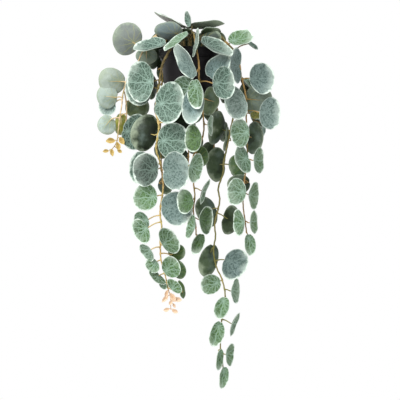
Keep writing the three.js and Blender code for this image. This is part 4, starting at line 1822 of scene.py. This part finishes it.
RIGHT_STEM = LeafyStem(
    name="right_stem",
    root=(9, 4),
    route=[
        (15, 6, 29), (34, 10, 36), (50, 13, 24), (57, 14, 0), (61, 14, -40), (63, 14, -81),
        (59, 13, -104), (52, 12, -138), (49, 12, -152), (48, 12, -168), (41, 12, -190),
        (43, 12, -209), (36, 12, -240), (37, 12, -260), (34, 11, -281), (39, 10, -306),
        (46, 8, -321), (51, 6, -346), (46, 4, -380), (44, 3, -417), (47, 2, -440),
    ],
    leaves=[
        Leaf(22, 13, 42, 34, 58, 48, 138, -83, Tint.SLATE, Side.UNDER),
        Leaf(30, 6, 34, 30, 29, 7, 98, -75, Tint.DARK, Side.UNDER),
        Leaf(56, 18, -120, 38, 24, 77, -92, -10, Tint.DARK, Side.UNDER),
        Leaf(42, 6, -103, 50, 34, 48, -100, -11, Tint.DARK, Side.UNDER),
        Leaf(36, 18, -155, 50, 32, -25, -93, 0, Tint.DARK, Side.UNDER),
        Leaf(69, 14, -162, 22, 20, 0, 60, 0, Tint.DARK, Side.UNDER),
        Leaf(24, 10, -224, 46, 30, 0, -64, 0, Tint.DARK, Side.UNDER),
        Leaf(61, 18, -236, 45, 29, 30, 75, 0, Tint.DARK, Side.UNDER),
        Leaf(27, 14, -295, 28, 48, 0, -15, 0, Tint.DARK, Side.UNDER),
        Leaf(30, 12, -329, 29, 30, 0, -80, 0, Tint.GREEN),
        Leaf(65, 4, -300, 46, 36, 0, 66, 0, Tint.BLUE),
        Leaf(64, 8, -339, 35, 22, 55, 85, 0, Tint.SAGE),
        Leaf(46, 0, -363, 21, 33, 0, -15, 0, Tint.GREEN),
        Leaf(62, 4, -386, 38, 22, 69, 83, -19, Tint.SAGE),
        Leaf(38, 2, -401, 22, 37, 15, -18, 0, Tint.GREEN),
        Leaf(56, 2, -431, 33, 20, 54, 82, 0, Tint.GREEN),
        Leaf(41, -4, -438, 15, 32, 48, -5, -6, Tint.GREEN),
        Leaf(47, 0, -464, 17, 33, 40, -12, 0, Tint.GREEN),
        Leaf(30, -2, 27, 25, 31, -20, 96, 0, Tint.DUSK, Side.UNDER),
    ],
    seed=22,
    wood=OLIVE_STEM,
    radius=1.8 * MM,
)

FRONT_RIGHT_STEM = LeafyStem(
    name="front_right_stem",
    root=(8, -6),
    route=[
        (14, -9, 24), (31, -14, 26), (50, -14, 21), (64, -12, 10), (71, -10, -6),
        (74, -10, -26), (77, -10, -38), (81, -10, -57), (81, -10, -70), (82, -10, -100),
        (83, -10, -130), (83, -10, -154), (80, -10, -170), (78, -10, -188), (77, -10, -214),
        (80, -11, -238), (82, -12, -254),
    ],
    leaves=[
        Leaf(37, -41, 11, 44, 50, 35, 47, 50),
        Leaf(42, -42, -15, 34, 40, -20, 143, 16, Tint.BLUE),
        Leaf(54, -14, -20, 40, 24, 10, 80, 0, Tint.DARK, Side.UNDER),
        Leaf(74, -16, 25, 37, 37, -10, 104, 45, Tint.GREEN),
        Leaf(90, -8, 16, 14, 19, 47, 33, 43),
        Leaf(62, -24, -12, 50, 38, 60, -90, 0, Tint.BLUE),
        Leaf(103, -14, -31, 45, 38, 15, 90, 0, Tint.BLUE),
        Leaf(99, -2, -62, 46, 40, 0, 85, 0, Tint.SLATE, Side.UNDER),
        Leaf(114, -12, -82, 48, 34, 25, 85, 0, Tint.BLUE),
        Leaf(96, -8, -84, 12, 18, 0, 80, 0, Tint.GOLD),
        # PALE here is painted light, lifting a leaf that falls in the shade of its neighbours.
        Leaf(67, -26, -67, 48, 32, -10, -70, 0, Tint.PALE),
        Leaf(74, -24, -110, 40, 30, -25, -85, 0, Tint.SAGE),
        Leaf(96, 0, -117, 48, 32, 35, 85, 0, Tint.DARK, Side.UNDER),
        Leaf(74, -22, -149, 42, 28, 41, -77, 11, Tint.SAGE),
        Leaf(97, -12, -150, 39, 26, 55, 88, 0, Tint.GREEN),
        Leaf(69, -24, -195, 39, 30, -28, -90, 0, Tint.SAGE),
        Leaf(71, -4, -184, 28, 34, 0, -80, 0, Tint.DARK, Side.UNDER),
        Leaf(90, -12, -201, 39, 26, 55, 78, 0, Tint.GREEN),
        Leaf(73, -20, -240, 38, 24, -50, -88, 0, Tint.GREEN),
        Leaf(90, -12, -239, 35, 24, 62, 95, 0, Tint.GREEN),
        Leaf(86, -12, -272, 18, 31, 20, 5, 0, Tint.GREEN),
        Leaf(70, -2, -157, 32, 28, 0, -85, 0, Tint.MOSS, Side.UNDER),
    ],
    seed=57,
)

BACK_LEFT_STEM = ruled_stem(
    "back_left_stem",
    (-9, 9),
    [
        (-15, 13, 26), (-26, 22, 31), (-35, 32, 24), (-38, 40, 6), (-39, 43, -22),
        (-43, 43, -62), (-43, 43, -104), (-42, 42, -146), (-40, 42, -182),
    ],
    LeafRule(seed=31, count=10, facing=-150, turn=38),
)

BACK_STEM = ruled_stem(
    "back_stem",
    (-2, 13),
    [
        (-2, 20, 27), (-1, 34, 33), (0, 47, 25), (0, 56, 6), (0, 60, -28), (-1, 60, -66),
        (-2, 58, -104), (-2, 56, -136), (-3, 55, -162),
    ],
    LeafRule(seed=12, count=10, facing=180, turn=30),
)

BACK_RIGHT_STEM = ruled_stem(
    "back_right_stem",
    (6, 10),
    [
        (10, 16, 27), (20, 27, 32), (29, 38, 25), (35, 46, 8), (37, 49, -20), (37, 48, -60),
        (36, 47, -98), (35, 46, -134),
    ],
    LeafRule(seed=27, count=8, facing=165, turn=40, first=1),
)

FAR_RIGHT_STEM = ruled_stem(
    "far_right_stem",
    (15, 8),
    [
        (21, 12, 25), (38, 20, 29), (55, 27, 20), (65, 30, 2), (69, 31, -18), (76, 31, -38),
        (86, 30, -56), (91, 28, -76), (93, 27, -96),
    ],
    LeafRule(seed=40, count=5, facing=110, turn=40, first=1, start=0.62),
)

YOUNG_LEFT = YoungTuft(
    name="young_leaves_left",
    slot="young_golden",
    finish=YoungFinish("golden_leaf", linear(198, 174, 106), linear(158, 130, 66)),
    route=[
        (-105, -8, -116.6), (-106, -8, -122), (-109, -8, -128), (-114, -8, -134),
    ],
    leaves=[
        Leaf(-115, -9, -121, 8, 14, 0, -84, 0),
        Leaf(-99, -9, -121, 8, 12, 0, 35, 0),
        Leaf(-104, -10, -129, 7, 12, 0, 10, 0),
        Leaf(-102, -9, -136, 5, 8, 0, 50, 0),
        Leaf(-122, -9, -136, 5, 9, 0, -80, 0),
        Leaf(-113, -10, -138, 6, 11, 0, 12, 0),
    ],
)

YOUNG_LOW = YoungTuft(
    name="young_leaves_low",
    slot="young_peach",
    finish=YoungFinish("peach_leaf", linear(222, 198, 172), linear(202, 168, 134)),
    route=[
        (-31.7, -20, -336.2), (-29, -20, -345), (-28, -20, -354), (-28, -20, -365),
    ],
    leaves=[
        Leaf(-34, -21, -343, 5, 12, 0, -8, 0),
        Leaf(-36, -21, -350, 6, 13, 0, -40, 0),
        Leaf(-25, -22, -348, 8, 15, 0, 30, 0),
        Leaf(-18, -21, -351, 7, 12, 0, 72, 0),
        Leaf(-28, -22, -356, 5, 8, 0, -30, 0),
        Leaf(-23, -20, -360, 4, 7, 0, 30, 0),
        Leaf(-34, -21, -366, 6, 9, 0, -75, 0),
        Leaf(-22, -21, -368, 6, 10, 0, 55, 0),
    ],
)

STEMS = [
    LEFT_STEM, FRONT_LEFT_STEM, FRONT_STEM, RIGHT_STEM, FRONT_RIGHT_STEM,
    BACK_LEFT_STEM, BACK_STEM, BACK_RIGHT_STEM, FAR_RIGHT_STEM,
]


def main() -> None:
    """Load the frame, build every piece around it and set the studio."""
    logging.basicConfig(level=logging.INFO, format="%(message)s")
    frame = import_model()
    log.info("frame with %d nodes", len(frame["nodes"]))
    Studio().build()
    log.info("studio")
    for body in (Pot(), Soil()):
        log.info("%s", body.build().name)
    foliage = Foliage()
    foliage.prepare()
    for stem in STEMS:
        for piece in stem.build(foliage):
            log.info("%s with %d faces", piece.name, len(piece.data.polygons))
    foliage.tidy_away()
    for tuft in (YOUNG_LEFT, YOUNG_LOW):
        log.info("%s", tuft.build().name)
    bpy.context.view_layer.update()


if __name__ == "__main__":
    main()
